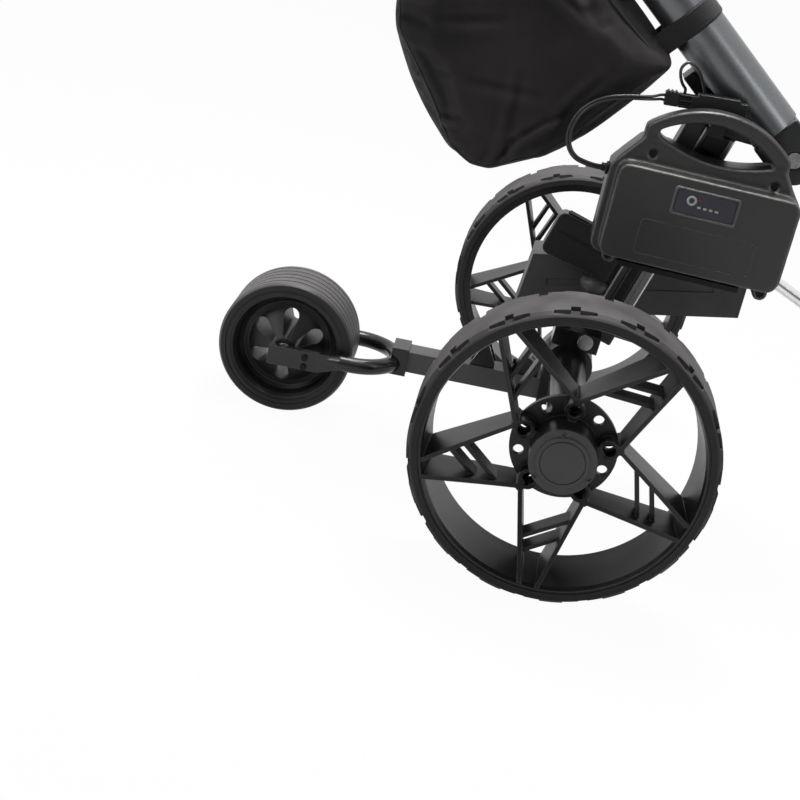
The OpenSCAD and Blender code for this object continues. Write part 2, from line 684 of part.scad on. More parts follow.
rod_x0 = 79;
rod_z0 = 338;
module rod_frame() translate([rod_x0, rod_y, rod_z0]) rotate([0, rod_fall, 0]) children();

module anti_tip_socket() color("black") difference() {
  union() {
    rod_frame() translate([-4, 0, 0]) rotate([0, 90, 0]) cylinder(r = rod_d / 2 + 5, h = 46);
    rod_frame() translate([-4, -9, -24]) cube([18, 18, 24]);
  }
  mast_frame() translate([mast_off - mast_x / 2 - 20, -30, 60]) cube([mast_x + 20, 60, 200]);
  rod_frame() translate([6, 0, 0]) rotate([0, 90, 0]) cylinder(r = rod_d / 2 + fit, h = 60);
}

// Rod: a straight run, one bend and the drop to the wheel, with the wheel's fork and axle
drop_len = rod_drop - tip_wheel_d / 2 - 8;
module drop_frame() rod_frame() translate([rod_len, 0, -rod_bend]) rotate([0, rod_turn, 0]) translate([0, 0, rod_bend])
  children();
module anti_tip_rod() color("silver") {
  rod_frame() {
    translate([rod_len, 0, 0]) rotate([0, -90, 0]) cylinder(r = rod_d / 2, h = rod_len - 6);
    translate([rod_len - 6, 0, 0]) rotate([0, 90, 0]) cylinder(r = rod_d / 2 + 0.8, h = 9);
    translate([rod_len, 0, -rod_bend]) rotate([90, 0, 0]) rotate(90 - rod_turn) rotate_extrude(angle = rod_turn)
      translate([rod_bend, 0]) circle(r = rod_d / 2);
  }
  drop_frame() {
    translate([-3, 0, 0]) rotate([0, 90, 0]) cylinder(r = rod_d / 2 + 0.8, h = 9);
    rotate([0, 90, 0]) rotate(180) cylinder(r = rod_d / 2, h = drop_len);
    translate([drop_len - 1, -15, -8]) cube([6, 30, 16]);
    for (s = [-1, 1]) translate([drop_len, s * 13.5 - 1.5, -8]) cube([tip_wheel_d / 2 + 16, 3, 16]);
    translate([rod_drop, -17, 0]) rotate([-90, 0, 0]) cylinder(r = 3, h = 34);
  }
}

module anti_tip_wheel() color("dimgray") drop_frame() translate([rod_drop, 0, 0]) rotate([-90, 0, 0])
  difference() {
    union() {
      translate([0, 0, -9]) cylinder(d = tip_wheel_d, h = 18);
      translate([0, 0, -11]) cylinder(r = 8, h = 22);
    }
    translate([0, 0, -12]) cylinder(r = 3 + fit, h = 24);
  }

// ---------- battery ----------

// Outline of the case seen from its face: round corners below, shoulders rising to the carrying handle
carry_r = case_l / 2 + 9;
carry_side = case_l / 2 - 25;
carry_z = case_h / 2 - 39;
face_l = case_l - 14;
face_h = case_h + 2;
module window() intersection() {
  translate([-6, carry_z]) circle(r = carry_r - 14);
  translate([8, case_h / 2 + 19 + 145]) circle(r = 145);
  translate([1 - carry_side + 15, case_h / 2]) square([2 * carry_side - 31, 90]);
}

module case_outline() difference() {
  union() {
    round_rect(case_l, case_h, 12);
    polygon([[-case_l / 2, 0], [-case_l / 2, case_h / 2 - 4], [-case_l / 2 + 9, case_h / 2 + 9],
      [1 - carry_side, case_h / 2 + 30], [1 + carry_side, case_h / 2 + 27], [case_l / 2 - 14, case_h / 2 + 11],
      [case_l / 2 - 5, case_h / 2 - 1], [case_l / 2, case_h / 2 - 12], [case_l / 2, 0]]);
  }
  window();
}

module carry_outline() difference() {
  intersection() {
    translate([-1, carry_z]) circle(r = carry_r);
    translate([1 - carry_side, case_h / 2]) square([2 * carry_side, 90]);
  }
  window();
}

lugs_at = [[-62, case_h / 2 + 15], [68, case_h / 2 + 11], [-79, -case_h / 2 - 1], [85, -case_h / 2 - 4]];
module lug_at() for (p = lugs_at) translate(p) children();

// Front shell, with the raised face
module battery_front() color("dimgray") case_frame() difference() {
  union() {
    rotate([90, 0, 0]) linear_extrude(14) case_outline();
    translate([2, -13, 3.5]) rotate([90, 0, 0]) linear_extrude(case_t / 2 - 13) round_rect(face_l, face_h, 12);
    rotate([90, 0, 0]) linear_extrude(carry_t / 2) carry_outline();
    rotate([90, 0, 0]) linear_extrude(14) lug_at() circle(r = 8);
  }
  translate([2, 1, 0]) rotate([90, 0, 0]) linear_extrude(case_t / 2 - case_wall + 1) round_rect(face_l - 8, case_h - 13, 10);
  translate([2, -case_t / 2 + 2, 28]) rotate([90, 0, 0]) linear_extrude(6) round_rect(62 + 2 * fit, 24 + 2 * fit, 5);
  rotate([90, 0, 0]) translate([0, 0, -1]) linear_extrude(22) lug_at() circle(r = 2.1);
  rotate([90, 0, 0]) translate([0, 0, 9]) linear_extrude(22) lug_at() circle(r = 4.2);
  translate([-13, -case_t / 2 - 1, 31]) rotate([-90, 0, 0]) cylinder(r = 5 + 0.2, h = 12);
}

module battery_rear() color("black") case_frame() difference() {
  union() {
    translate([0, case_t / 2, 0]) rotate([90, 0, 0]) linear_extrude(case_t / 2) round_rect(case_l, case_h, 12);
    translate([0, case_t / 2 - 5, 0]) rotate([90, 0, 0]) linear_extrude(case_t / 2 - 5) case_outline();
    translate([0, carry_t / 2, 0]) rotate([90, 0, 0]) linear_extrude(carry_t / 2) carry_outline();
    translate([0, 14, 0]) rotate([90, 0, 0]) linear_extrude(14) lug_at() circle(r = 8);
  }
  translate([2, case_t / 2 - case_wall, 0]) rotate([90, 0, 0]) linear_extrude(case_t / 2) round_rect(face_l - 8, case_h - 13, 10);
  translate([0, 8, 0]) rotate([90, 0, 0]) linear_extrude(10) lug_at() circle(r = 2.1);
}

// Three rows of seven cells, stacked from the floor of the case
cell_d = 22.5;
cell_step = 22.8;
cell_floor = -case_h / 2 + 7.5;
module battery_cells() color("steelblue") case_frame() for (i = [-3:3], k = [0:2])
  translate([i * cell_step, case_wall + fit - case_t / 2, cell_floor + cell_d / 2 + k * cell_step]) rotate([-90, 0, 0])
    cylinder(d = cell_d, h = case_t - 2 * case_wall - 2 * fit);

module battery_panel() color("slategray") case_frame() translate([2, -case_t / 2 + 2, 28]) difference() {
  rotate([90, 0, 0]) linear_extrude(2) round_rect(62, 24, 5);
  translate([-15, -10, 3]) rotate([-90, 0, 0]) cylinder(r = 4.2, h = 20);
}

module power_button() color("white") case_frame() translate([-13, -case_t / 2 + 2, 31]) {
  translate([0, -2.6, 0]) rotate([-90, 0, 0]) cylinder(r = 4, h = 4.4);
}

module battery_screws() color("silver") case_frame() lug_screws();
module lug_screws() rotate([90, 0, 0]) translate([0, 0, -7]) {
  lug_at() cylinder(r = 2, h = 16);
  lug_at() translate([0, 0, 16]) cylinder(r = 3.6, h = 2.6);
}

module lead_boot() color("black") case_frame() translate([-case_l / 2, 6, 36]) rotate([0, -90, 0]) {
  cylinder(r = 7, h = 3);
  translate([0, 0, 3]) cylinder(r = 4.4, h = 5);
}

module battery_lead() color("black") cord(lead_points, 6);

module battery_plug() color("black") plug_frame() {
  cube([plug_l, plug_t, 14]);
  for (x = [2:4:10]) translate([x, 0, 14]) cube([2, plug_t, 1.6]);
  for (z = [3.4, 8.9]) translate([plug_l, 1, z]) cube([12, 5.5, 2.2]);
}

// ---------- handle ----------

module post_knuckle() color("gray") post_frame() difference() {
  union() {
    for (s = [-1, 1]) translate([0, s > 0 ? slot_half : -knuckle_half, 0]) rotate([-90, 0, 0])
      linear_extrude(knuckle_half - slot_half) {
        circle(r = 27);
        translate([0, -27]) square([seam_s, 54]);
      }
    translate([seam_s - 1, 0, 0]) rotate([0, 90, 0]) cylinder(r = post_d / 2 - post_wall - fit, h = 28);
    translate([0, slot_half + 1, 0]) rotate([90, 0, 0]) linear_extrude(2 * slot_half + 2) difference() {
      union() {
        circle(r = 27);
        square([seam_s, 27]);
      }
      circle(r = hinge_eye_r + 1);
      translate([-40, -60]) square([80, 64]);
    }
  }
  translate([-40, -slot_half, -60]) cube([140, 2 * slot_half, 64]);
  rotate([-90, 0, 0]) translate([0, 0, -slot_half]) cylinder(r = hinge_eye_r + 1, h = 2 * slot_half);
  rotate([-90, 0, 0]) translate([0, 0, -40]) cylinder(r = bolt_d / 2 + fit, h = 80);
  rotate([-90, 0, 0]) translate([0, 0, -knuckle_half - 1]) cylinder(r = 8.5 + fit, h = 5);
}

module post_tube() color("gray") post_frame() difference() {
  translate([seam_s, 0, 0]) rotate([0, 90, 0]) ring(post_d / 2, post_d / 2 - post_wall, post_len - seam_s);
  translate([seam_s - 1, -slot_half, -60]) cube([80, 2 * slot_half, 60]);
}

module cable_cover() color("black") post_frame() difference() {
  translate([94, 2, -post_d / 2 - 14]) cube([42, 36, 34]);
  translate([80, 0, 0]) rotate([0, 90, 0]) cylinder(r = post_d / 2 + fit, h = 60);
}

module fold_lever() color("black") post_frame() translate([0, knuckle_half + seat_gap, 0]) rotate([-90, 0, 0]) {
  cylinder(r = 13, h = 8);
  rotate(180) translate([0, -6, 0]) cube([52, 12, 8]);
}

cradle_s = 432;
module upper_cradle() color("black") post_frame() difference() {
  union() {
    translate([cradle_s - 14, 0, -post_d / 2 - 74]) rotate([0, 90, 0]) difference() {
      cylinder(r = 80, h = 28);
      translate([0, 0, -1]) cylinder(r = 74, h = 30);
      translate([20, -100, -1]) cube([100, 200, 30]);
    }
    translate([cradle_s - 18, 0, 0]) rotate([0, 90, 0]) cylinder(r = post_d / 2 + 4, h = 36);
  }
  translate([cradle_s - 30, 0, 0]) rotate([0, 90, 0]) cylinder(r = post_d / 2 + fit, h = 60);
}

// The soft bag that hangs under the post on two loops
bag_s = 157;
bag_top = 40;
bag_drop = 271;
module storage_bag() color("black") post_frame() {
  translate([0, bag_w / 2, 0]) rotate([90, 0, 0]) linear_extrude(bag_w) translate([bag_s, 0]) polygon([
    [0, -bag_top], [0, -bag_drop + 107], [8, -bag_drop + 68], [30, -bag_drop + 21], [46, -bag_drop + 7],
    [76, -bag_drop], [160, -bag_drop + 18], [bag_l - 38, -bag_drop + 32], [bag_l - 14, -bag_drop + 50],
    [bag_l, -bag_drop + 86], [bag_l, -bag_top]]);
  for (x = [bag_s + 25, bag_s + bag_l - 50]) translate([x, 0, 0]) rotate([0, 90, 0]) difference() {
    union() {
      cylinder(r = post_d / 2 + 3, h = 24);
      translate([post_d / 2, -12, 0]) cube([bag_top - post_d / 2 + 2, 24, 24]);
    }
    translate([0, 0, -1]) cylinder(r = post_d / 2 + fit, h = 26);
  }
}

// Console on the end of the post
console_s = post_len;
console_l = 76;
console_half = 44;
console_low = 24;
console_t = 52;
umbrella_d = 12.5;
umbrella_depth = 40;
module console() color("black") post_frame() difference() {
  union() {
    translate([console_s, -console_half, -console_low]) cube([console_l, 2 * console_half, console_t]);
    translate([console_s - 30, 0, 0]) rotate([0, 90, 0]) cylinder(r = post_d / 2 - post_wall - fit, h = 31);
    translate([console_s + console_l - 12, 0, -console_low]) cylinder(r = 12, h = console_low + 35);
  }
  translate([console_s + 40, -60, 0]) rotate([-90, 0, 0]) cylinder(r = 11 + fit, h = 120);
  translate([console_s + 3, 3 - console_half, 3]) cube([console_l - 28, 2 * console_half - 6, console_t - 30]);
  translate([console_s + console_l - 12, 0, 35 - umbrella_depth]) cylinder(d = umbrella_d, h = umbrella_depth);
  translate([console_s + 16 - fit, -18, 25.5]) cube([28 + 2 * fit, 36, 20]);
  translate([console_s + 20, -15, 20]) cube([20, 30, 20]);
  translate([console_s + 36, 31, 20]) cylinder(r = 8, h = 12);
  translate([console_s + 36, -31, 20]) cylinder(r = 4 + 0.15, h = 12);
}

// The cross bar through the console
module handle_bar() color("gray") post_frame() translate([console_s + 40, 0, 0]) {
  rotate([-90, 0, 0]) translate([0, 0, -grip_span / 2]) cylinder(r = 11, h = grip_span);
}

module console_display() color("darkslategray") post_frame() translate([console_s + 16, 0, 25.5])
  translate([0, -18 + fit, 0]) cube([28, 36 - 2 * fit, 2]);

module grips() color("dimgray") post_frame() translate([console_s + 40, 0, 0]) for (s = [-1, 1])
  mirror([0, s > 0 ? 0 : 1, 0]) translate([0, grip_span / 2 - 76, 0]) rotate([-90, 0, 0]) difference() {
    union() {
      cylinder(d = grip_d, h = 80);
      cylinder(d = grip_d + 6, h = 4);
    }
    translate([0, 0, -1]) cylinder(r = 11 + fit, h = 77);
  }

module speed_dial() color("gray") post_frame() translate([console_s + 36, 31, 0]) {
  translate([0, 0, 20.5]) cylinder(r = 7.8, h = 8);
  translate([0, 0, 28.5]) cylinder(r = 11, h = 9);
}

module console_button() color("red") post_frame() translate([console_s + 36, -31, 20.5]) cylinder(r = 4, h = 10);

axle_tube();
axle_block();
mast_pin();
drive_units();
boom();
boom_collar();
fork();
fork_screws();
front_axle();
brace_bracket();
brace();
mast();
mast_foot();
mast_head();
hinge_bolt();
cradle_bracket();
lower_cradle();
cradle_pad();
controller_front();
controller_back();
control_board();
battery_tray();
battery_socket();
socket_cable();
anti_tip_socket();
anti_tip_rod();
anti_tip_wheel();
battery_front();
battery_rear();
battery_cells();
battery_panel();
battery_screws();
power_button();
lead_boot();
battery_lead();
battery_plug();
post_knuckle();
post_tube();
cable_cover();
fold_lever();
upper_cradle();
storage_bag();
console();
console_display();
handle_bar();
grips();
speed_dial();
console_button();
left_tyre();
left_rim();
left_cap();
left_shaft();
left_rotor();
right_tyre();
right_rim();
right_cap();
right_shaft();
right_rotor();
front_tyre();
front_rim();
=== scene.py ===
import json
import math

import bmesh
import bpy
from mathutils import Matrix, Vector
from mathutils.bvhtree import BVHTree


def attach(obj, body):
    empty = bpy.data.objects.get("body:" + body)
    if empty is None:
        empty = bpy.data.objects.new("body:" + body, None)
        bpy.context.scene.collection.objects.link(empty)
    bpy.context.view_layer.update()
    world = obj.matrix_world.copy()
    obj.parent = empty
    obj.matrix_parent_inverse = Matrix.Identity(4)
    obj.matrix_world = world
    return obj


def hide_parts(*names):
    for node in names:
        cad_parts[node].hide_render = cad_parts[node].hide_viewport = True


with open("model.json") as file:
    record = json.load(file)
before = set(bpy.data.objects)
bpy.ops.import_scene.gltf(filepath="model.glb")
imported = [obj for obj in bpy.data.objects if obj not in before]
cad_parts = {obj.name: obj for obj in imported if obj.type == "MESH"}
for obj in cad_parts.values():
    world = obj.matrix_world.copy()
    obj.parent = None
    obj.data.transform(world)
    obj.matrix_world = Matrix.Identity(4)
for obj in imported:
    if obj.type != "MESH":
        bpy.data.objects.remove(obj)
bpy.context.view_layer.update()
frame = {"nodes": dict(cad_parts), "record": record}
nodes = frame["nodes"]
print("frame loaded:", len(nodes), "nodes")

# a socket that takes part in arithmetic; each operator adds its Math node
class Wire:
    def __init__(self, shading, socket):
        self.shading = shading
        self.socket = socket

    def math(self, operation, *others):
        return self.shading.node("Math", {"operation": operation}, dict(enumerate((self,) + others)))

    def __add__(self, other):
        return self.math("ADD", other)

    def __mul__(self, other):
        return self.math("MULTIPLY", other)

    def __sub__(self, other):
        return self.math("SUBTRACT", other)

    def __rsub__(self, other):
        return self.shading.node("Math", {"operation": "SUBTRACT"}, {0: other, 1: self})

    def __truediv__(self, other):
        return self.math("DIVIDE", other)

    __radd__ = __add__
    __rmul__ = __mul__

    # the value, held between 0 and 1
    def clip(self):
        return self.shading.node("Math", {"operation": "ADD", "use_clamp": True}, {0: self, 1: 0.0})


# a tree of shader nodes, for a material or for the world
class Shading:
    def __init__(self, owner, output):
        owner.use_nodes = True
        self.tree = owner.node_tree
        self.tree.nodes.clear()
        self.output = self.tree.nodes.new(output)

    def feed(self, socket, value):
        if isinstance(value, Wire):
            self.tree.links.new(value.socket, socket)
        elif isinstance(value, (tuple, list)) and socket.type == "RGBA" and len(value) == 3:
            socket.default_value = (*value, 1)
        else:
            socket.default_value = value

    def show(self, surface):
        self.tree.links.new(surface.socket, self.output.inputs[0])

    # adds a node; a ramp's stops count as one of its settings
    def node(self, kind, settings=None, sockets=None, out=0):
        made = self.tree.nodes.new("ShaderNode" + kind)
        for key, value in (settings or {}).items():
            if key == "stops":
                while len(made.color_ramp.elements) > 1:
                    made.color_ramp.elements.remove(made.color_ramp.elements[0])
                made.color_ramp.elements[0].position = value[0][0]
                made.color_ramp.elements[0].color = (*value[0][1], 1)
                for place, colour in value[1:]:
                    made.color_ramp.elements.new(place).color = (*colour, 1)
            else:
                setattr(made, key, value)
        for key, value in (sockets or {}).items():
            self.feed(made.inputs[key], value)
        return Wire(self, made.outputs[out])

    def place(self, coordinates="Object"):
        return self.node("TexCoord", out=coordinates)

    def ray(self, kind):
        return self.node("LightPath", out=kind)

    def noise(self, scale, detail=3, rough=0.5, stretch=None):
        where = self.place()
        if stretch:
            where = self.node("VectorMath", {"operation": "MULTIPLY"}, {0: where, 1: stretch})
        return self.node("TexNoise", None,
                         {"Vector": where, "Scale": scale, "Detail": detail, "Roughness": rough})

    def ramp(self, value, stops):
        return self.node("ValToRGB", {"stops": stops}, {0: value})

    def remap(self, value, low, high, toLow, toHigh):
        return self.node("MapRange", None, {0: value, 1: low, 2: high, 3: toLow, 4: toHigh})

    def blend(self, factor, first, second):
        return self.node("Mix", {"data_type": "RGBA"}, {0: factor, 6: first, 7: second}, out=2)

    def dot(self, first, second):
        return self.node("VectorMath", {"operation": "DOT_PRODUCT"}, {0: first, 1: second}, "Value")

    def bevel(self, radius):
        return self.node("Bevel", {"samples": 4}, {"Radius": radius})

    # 1 along rounded edges, 0 on flat surfaces
    def wearAndSheen(self, soft):
        flat, rounded = 0.99, 0.85
        return self.remap(self.dot(soft, self.node("NewGeometry", out="Normal")), flat, rounded, 0, 1)

    def bump(self, height, distance, normal=None):
        sockets = {"Height": height, "Distance": distance, "Strength": 1.0}
        if normal:
            sockets["Normal"] = normal
        return self.node("Bump", None, sockets)

    # the place on the object along x, y or z
    def part(self, axis):
        return self.node("SeparateXYZ", None, {0: self.place()}, axis)

    # distance from an axis through the point, along x, y or z
    def around(self, point, axis):
        first, second = [i for i in range(3) if i != axis]
        a, b = self.part(first) - point[first], self.part(second) - point[second]
        return (a * a + b * b).math("SQRT")


# one material with a Principled shader
class Finish(Shading):
    def __init__(self, name, **constants):
        self.material = bpy.data.materials.new(name)
        super().__init__(self.material, "ShaderNodeOutputMaterial")
        self.shader = self.node("BsdfPrincipled")
        self.show(self.shader)
        self.set(**constants)

    def set(self, **values):
        for key, value in values.items():
            self.feed(self.shader.socket.node.inputs[key.replace("_", " ")], value)
        return self


def grey(level, warm=0.0):
    return (level * (1 + warm), level, level * (1 - warm))


noiseSpan = (0.3, 0.7)  # where most of a noise's values lie
# the grey that rounded edges are lightened towards: partly wear, partly a painted highlight
sheenAndWearTone = grey(0.5)
treadFade = 0.0012  # how softly a tyre's tread passes into its side
smudgeScale = 14


# fine moulded plastic or paint: grain, faint mottling and softened edges, lightened towards grey partly
# as wear and partly as a painted highlight
def mouldedFinish(name, look):
    f = Finish(name, IOR=1.5, Specular_IOR_Level=look.get("gloss", 0.4))
    mottle = f.noise(look.get("mottleScale", 18), 4)
    grain = f.noise(look["grainScale"], 2, 0.6)
    soft = f.bevel(look.get("edge", 0.0008))
    colour = f.blend(f.remap(mottle, *noiseSpan, 0, 1), look["dark"], look["light"])
    # painted shade on the tyre's sides: they are painted darker than the tread, as if the tread were lit
    # from above
    if look.get("side"):  # below this radius from the axle, the tyre's sides are darker than its tread
        radius = f.around(look["centre"], 1)
        tread = f.remap(radius, look["side"], look["side"] + treadFade, 0, 1)
        colour = f.blend(tread, look["shadedSideTone"], colour)
    # rounded edges painted paler: partly wear, partly a painted highlight along each edge
    if look.get("edgeWearAndSheen"):
        colour = f.blend(f.wearAndSheen(soft) * look["edgeWearAndSheen"], colour, sheenAndWearTone)
    rough = look["rough"] + (mottle - 0.5) * look.get("roughSwing", 0.15)
    normal = f.bump(grain, look["grainDepth"], soft)
    return f.set(Base_Color=colour, Roughness=rough, Normal=normal).material


# metal with fine lines along one axis
def brushedFinish(name, look):
    f = Finish(name, Metallic=look.get("metal", 1.0))
    lines = f.noise(look["lineScale"], 3, 0.6, stretch=look["stretch"])
    smudge = f.noise(smudgeScale, 3)
    soft = f.bevel(look.get("edge", 0.0005))
    colour = f.blend(f.remap(lines, *noiseSpan, 0, 1), look["dark"], look["light"])
    rough = look["rough"] + (smudge - 0.5) * look.get("smudge", 0.2) + (lines - 0.5) * 0.15
    normal = f.bump(lines, look["lineDepth"], soft)
    return f.set(Base_Color=colour, Roughness=rough, Normal=normal).material


def dress(material, *names):
    for name in names:
        node = nodes[name]
        for i in range(max(1, len(node.material_slots))):
            if not node.material_slots:
                node.data.materials.append(material)
            else:
                node.material_slots[i].material = material


def addPiece(name, mesh, material, body, slot, *replaced):
    piece = bpy.data.objects.new(name, mesh)
    bpy.context.collection.objects.link(piece)
    mesh.materials.clear()
    mesh.materials.append(material)
    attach(piece, body)
    if replaced:
        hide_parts(*replaced)
    return piece


def fromBmesh(name, bm, smooth=True):
    mesh = bpy.data.meshes.new(name)
    bmesh.ops.recalc_face_normals(bm, faces=bm.faces)
    bm.to_mesh(mesh)
    bm.free()
    for face in mesh.polygons:
        face.use_smooth = smooth
    return mesh


# walls between each ring of corners and the next
def bridge(bm, rings):
    for low, high in zip(rings, rings[1:]):
        for k in range(len(low)):
            after = (k + 1) % len(low)
            bm.faces.new((low[k], low[after], high[after], high[k]))


def circle(count):
    return [2 * math.pi * k / count for k in range(count)]


# corners of a rectangle with round corners, moved inwards by the inset
def roundedOutline(length, height, corner, inset, steps):
    r = corner - inset
    points = []
    for sideX, sideZ, start in ((1, 1, 0), (-1, 1, 90), (-1, -1, 180), (1, -1, 270)):
        for k in range(steps + 1):
            a = math.radians(start + 90 * k / steps)
            points.append((sideX * (length / 2 - corner) + r * math.cos(a),
                           sideZ * (height / 2 - corner) + r * math.sin(a)))
    return points


# runs modifiers on a mesh and gives the result as a new mesh
def shaped(name, mesh, *steps):
    holder = bpy.data.objects.new(name, mesh)
    bpy.context.collection.objects.link(holder)
    for kind, settings in steps:
        modifier = holder.modifiers.new(kind, kind)
        for key, value in settings.items():
            setattr(modifier, key, value)
    result = bpy.data.meshes.new_from_object(holder.evaluated_get(bpy.context.evaluated_depsgraph_get()))
    bpy.data.objects.remove(holder)
    for face in result.polygons:
        face.use_smooth = True
    return result


# rounds every edge and inner corner of a solid
def easing(look):
    return [("REMESH", {"mode": "VOXEL", "voxel_size": look["voxel"] / 1000}),
            ("SMOOTH", {"factor": 0.5, "iterations": look["rounds"]})]


# a smooth route through the points
def catmull(points, steps):
    points = [Vector(p) for p in points]
    points = [points[0] * 2 - points[1]] + points + [points[-1] * 2 - points[-2]]
    route = []
    for a, b, c, d in zip(points, points[1:], points[2:], points[3:]):
        for i in range(steps):
            t = i / steps
            route.append(0.5 * (2 * b + (c - a) * t + (2 * a - 5 * b + 4 * c - d) * t ** 2
                                + (3 * b - a - 3 * c + d) * t ** 3))
    return route + [points[-2]]


# a round tube along a route, shifted sideways by shift(t), where t runs from 0 to 1
def sweep(bm, route, radius, across, shift=lambda t: 0.0, sides=12):
    rings = []
    for i, point in enumerate(route):
        along = (route[min(i + 1, len(route) - 1)] - route[max(i - 1, 0)]).normalized()
        side = along.cross(across).normalized()
        other = along.cross(side)
        centre = point + side * shift(i / (len(route) - 1))
        rings.append([bm.verts.new(centre + radius * (math.cos(a) * side + math.sin(a) * other))
                      for a in circle(sides)])
    bridge(bm, rings)
    bm.faces.new(rings[0][::-1])
    bm.faces.new(rings[-1])


def mm(*values):
    return Vector([v / 1000 for v in values])


# a slab with round corners, its edges rounded by layers of offset outlines
def padSlab(bm, look, matrix):
    edge, steps = look["edge"], 4
    layers = [(0.0, 0.0)]
    for k in range(steps + 1):
        a = math.radians(90 * k / steps)
        layers.append((edge * (1 - math.cos(a)), look["rise"] - edge + edge * math.sin(a)))
    rings = [[bm.verts.new(matrix @ mm(x, -rise, z))
              for x, z in roundedOutline(look["length"], look["height"], look["corner"], inset, 6)]
             for inset, rise in layers]
    bridge(bm, rings)
    bm.faces.new(rings[-1])
    bm.faces.new(rings[0][::-1])


# the camera, the lamps and the white room
view = {
    "place": (-0.14117, -1.74223, 0.71980),
    "right": (0.96129, 0.11372, 0.25097),
    "up": (-0.27511, 0.34548, 0.89720),
    "lens": 72.54,
    "sensor": 36,
}
room = {
    "floorTone": 0.5,
    "floorSize": 9,
    "floorGlow": 0.965,
    "floorMirrored": 0.5,
    "worldGlow": 0.12,
    "brightSide": (0, 0.75, 1),
    "mirrored": (-0.5, 0.6, 0.2, 1.0),
}
lamps = [
    {"name": "topLamp", "place": (-0.2, 0.25, 2.1), "aim": (0, 0, 0.2), "size": (0.9, 0.9),
     "power": 80},
    {"name": "leftLamp", "place": (-2.2, -1.3, 1.5), "aim": (-0.1, 0, 0.25), "size": (0.7, 1.4),
     "power": 24},
    {"name": "rightLamp", "place": (1.9, -1.6, 1.2), "aim": (0, 0, 0.25), "size": (0.5, 1.4),
     "power": 13},
]


def makeCamera():
    data = bpy.data.cameras.new("viewCamera")
    data.lens = view["lens"]
    data.sensor_width = view["sensor"]
    data.clip_start = 0.05
    camera = bpy.data.objects.new("viewCamera", data)
    right = Vector(view["right"]).normalized()
    up = Vector(view["up"]).normalized()
    back = right.cross(up)
    turn = Matrix((right, up, back)).transposed().to_4x4()
    camera.matrix_world = Matrix.Translation(view["place"]) @ turn
    bpy.context.collection.objects.link(camera)
    bpy.context.scene.camera = camera


def makeLamps():
    for lamp in lamps:
        data = bpy.data.lights.new(lamp["name"], "AREA")
        data.shape = "RECTANGLE"
        data.size, data.size_y = lamp["size"]
        data.energy = lamp["power"]
        light = bpy.data.objects.new(lamp["name"], data)
        light.location = lamp["place"]
        aim = Vector(lamp["aim"]) - Vector(lamp["place"])
        light.rotation_euler = aim.to_track_quat("-Z", "Y").to_euler()
        bpy.context.collection.objects.link(light)


# white for the camera; it lights the object at its own level, and gloss shows it darker at the front
def paleWorld():
    world = bpy.data.worlds.new("paleRoom")
    w = Shading(world, "ShaderNodeOutputWorld")
    toward = w.dot(w.place("Generated"), room["brightSide"])
    low, high, dim, bright = room["mirrored"]
    mirrored = w.node("MapRange", {"interpolation_type": "SMOOTHSTEP"},
                      {0: toward, 1: low, 2: high, 3: dim, 4: bright})
    reflected = w.ray("Is Glossy Ray").math("MAXIMUM", w.ray("Is Transmission Ray"))
    level = w.remap(reflected, 0, 1, room["worldGlow"], mirrored).math("MAXIMUM", w.ray("Is Camera Ray"))
    w.show(w.node("Background", None, {"Color": (1, 1, 1), "Strength": level}))
    bpy.context.scene.world = world


def makeFloor():
    size = room["floorSize"]
    mesh = bpy.data.meshes.new("floor")
    corners = [(-size, -size, 0), (size, -size, 0), (size, size, 0), (-size, size, 0)]
    mesh.from_pydata(corners, [], [(0, 1, 2, 3)])
    floor = bpy.data.objects.new("floor", mesh)
    bpy.context.collection.objects.link(floor)
    f = Finish("floorPaper", Roughness=0.9, Base_Color=grey(room["floorTone"]))
    white = f.node("Emission", None, {"Color": (1, 1, 1), "Strength": 1.0})
    shown = f.ray("Is Camera Ray") * room["floorGlow"]
    for kind in ("Is Glossy Ray", "Is Transmission Ray"):
        shown = shown.math("MAXIMUM", f.ray(kind) * room["floorMirrored"])
    f.show(f.node("MixShader", None, {0: shown, 1: f.shader, 2: white}))
    mesh.materials.append(f.material)


makeCamera()
makeLamps()
paleWorld()
makeFloor()
bpy.context.scene.view_settings.view_transform = "Standard"
print("camera, lamps and floor made")

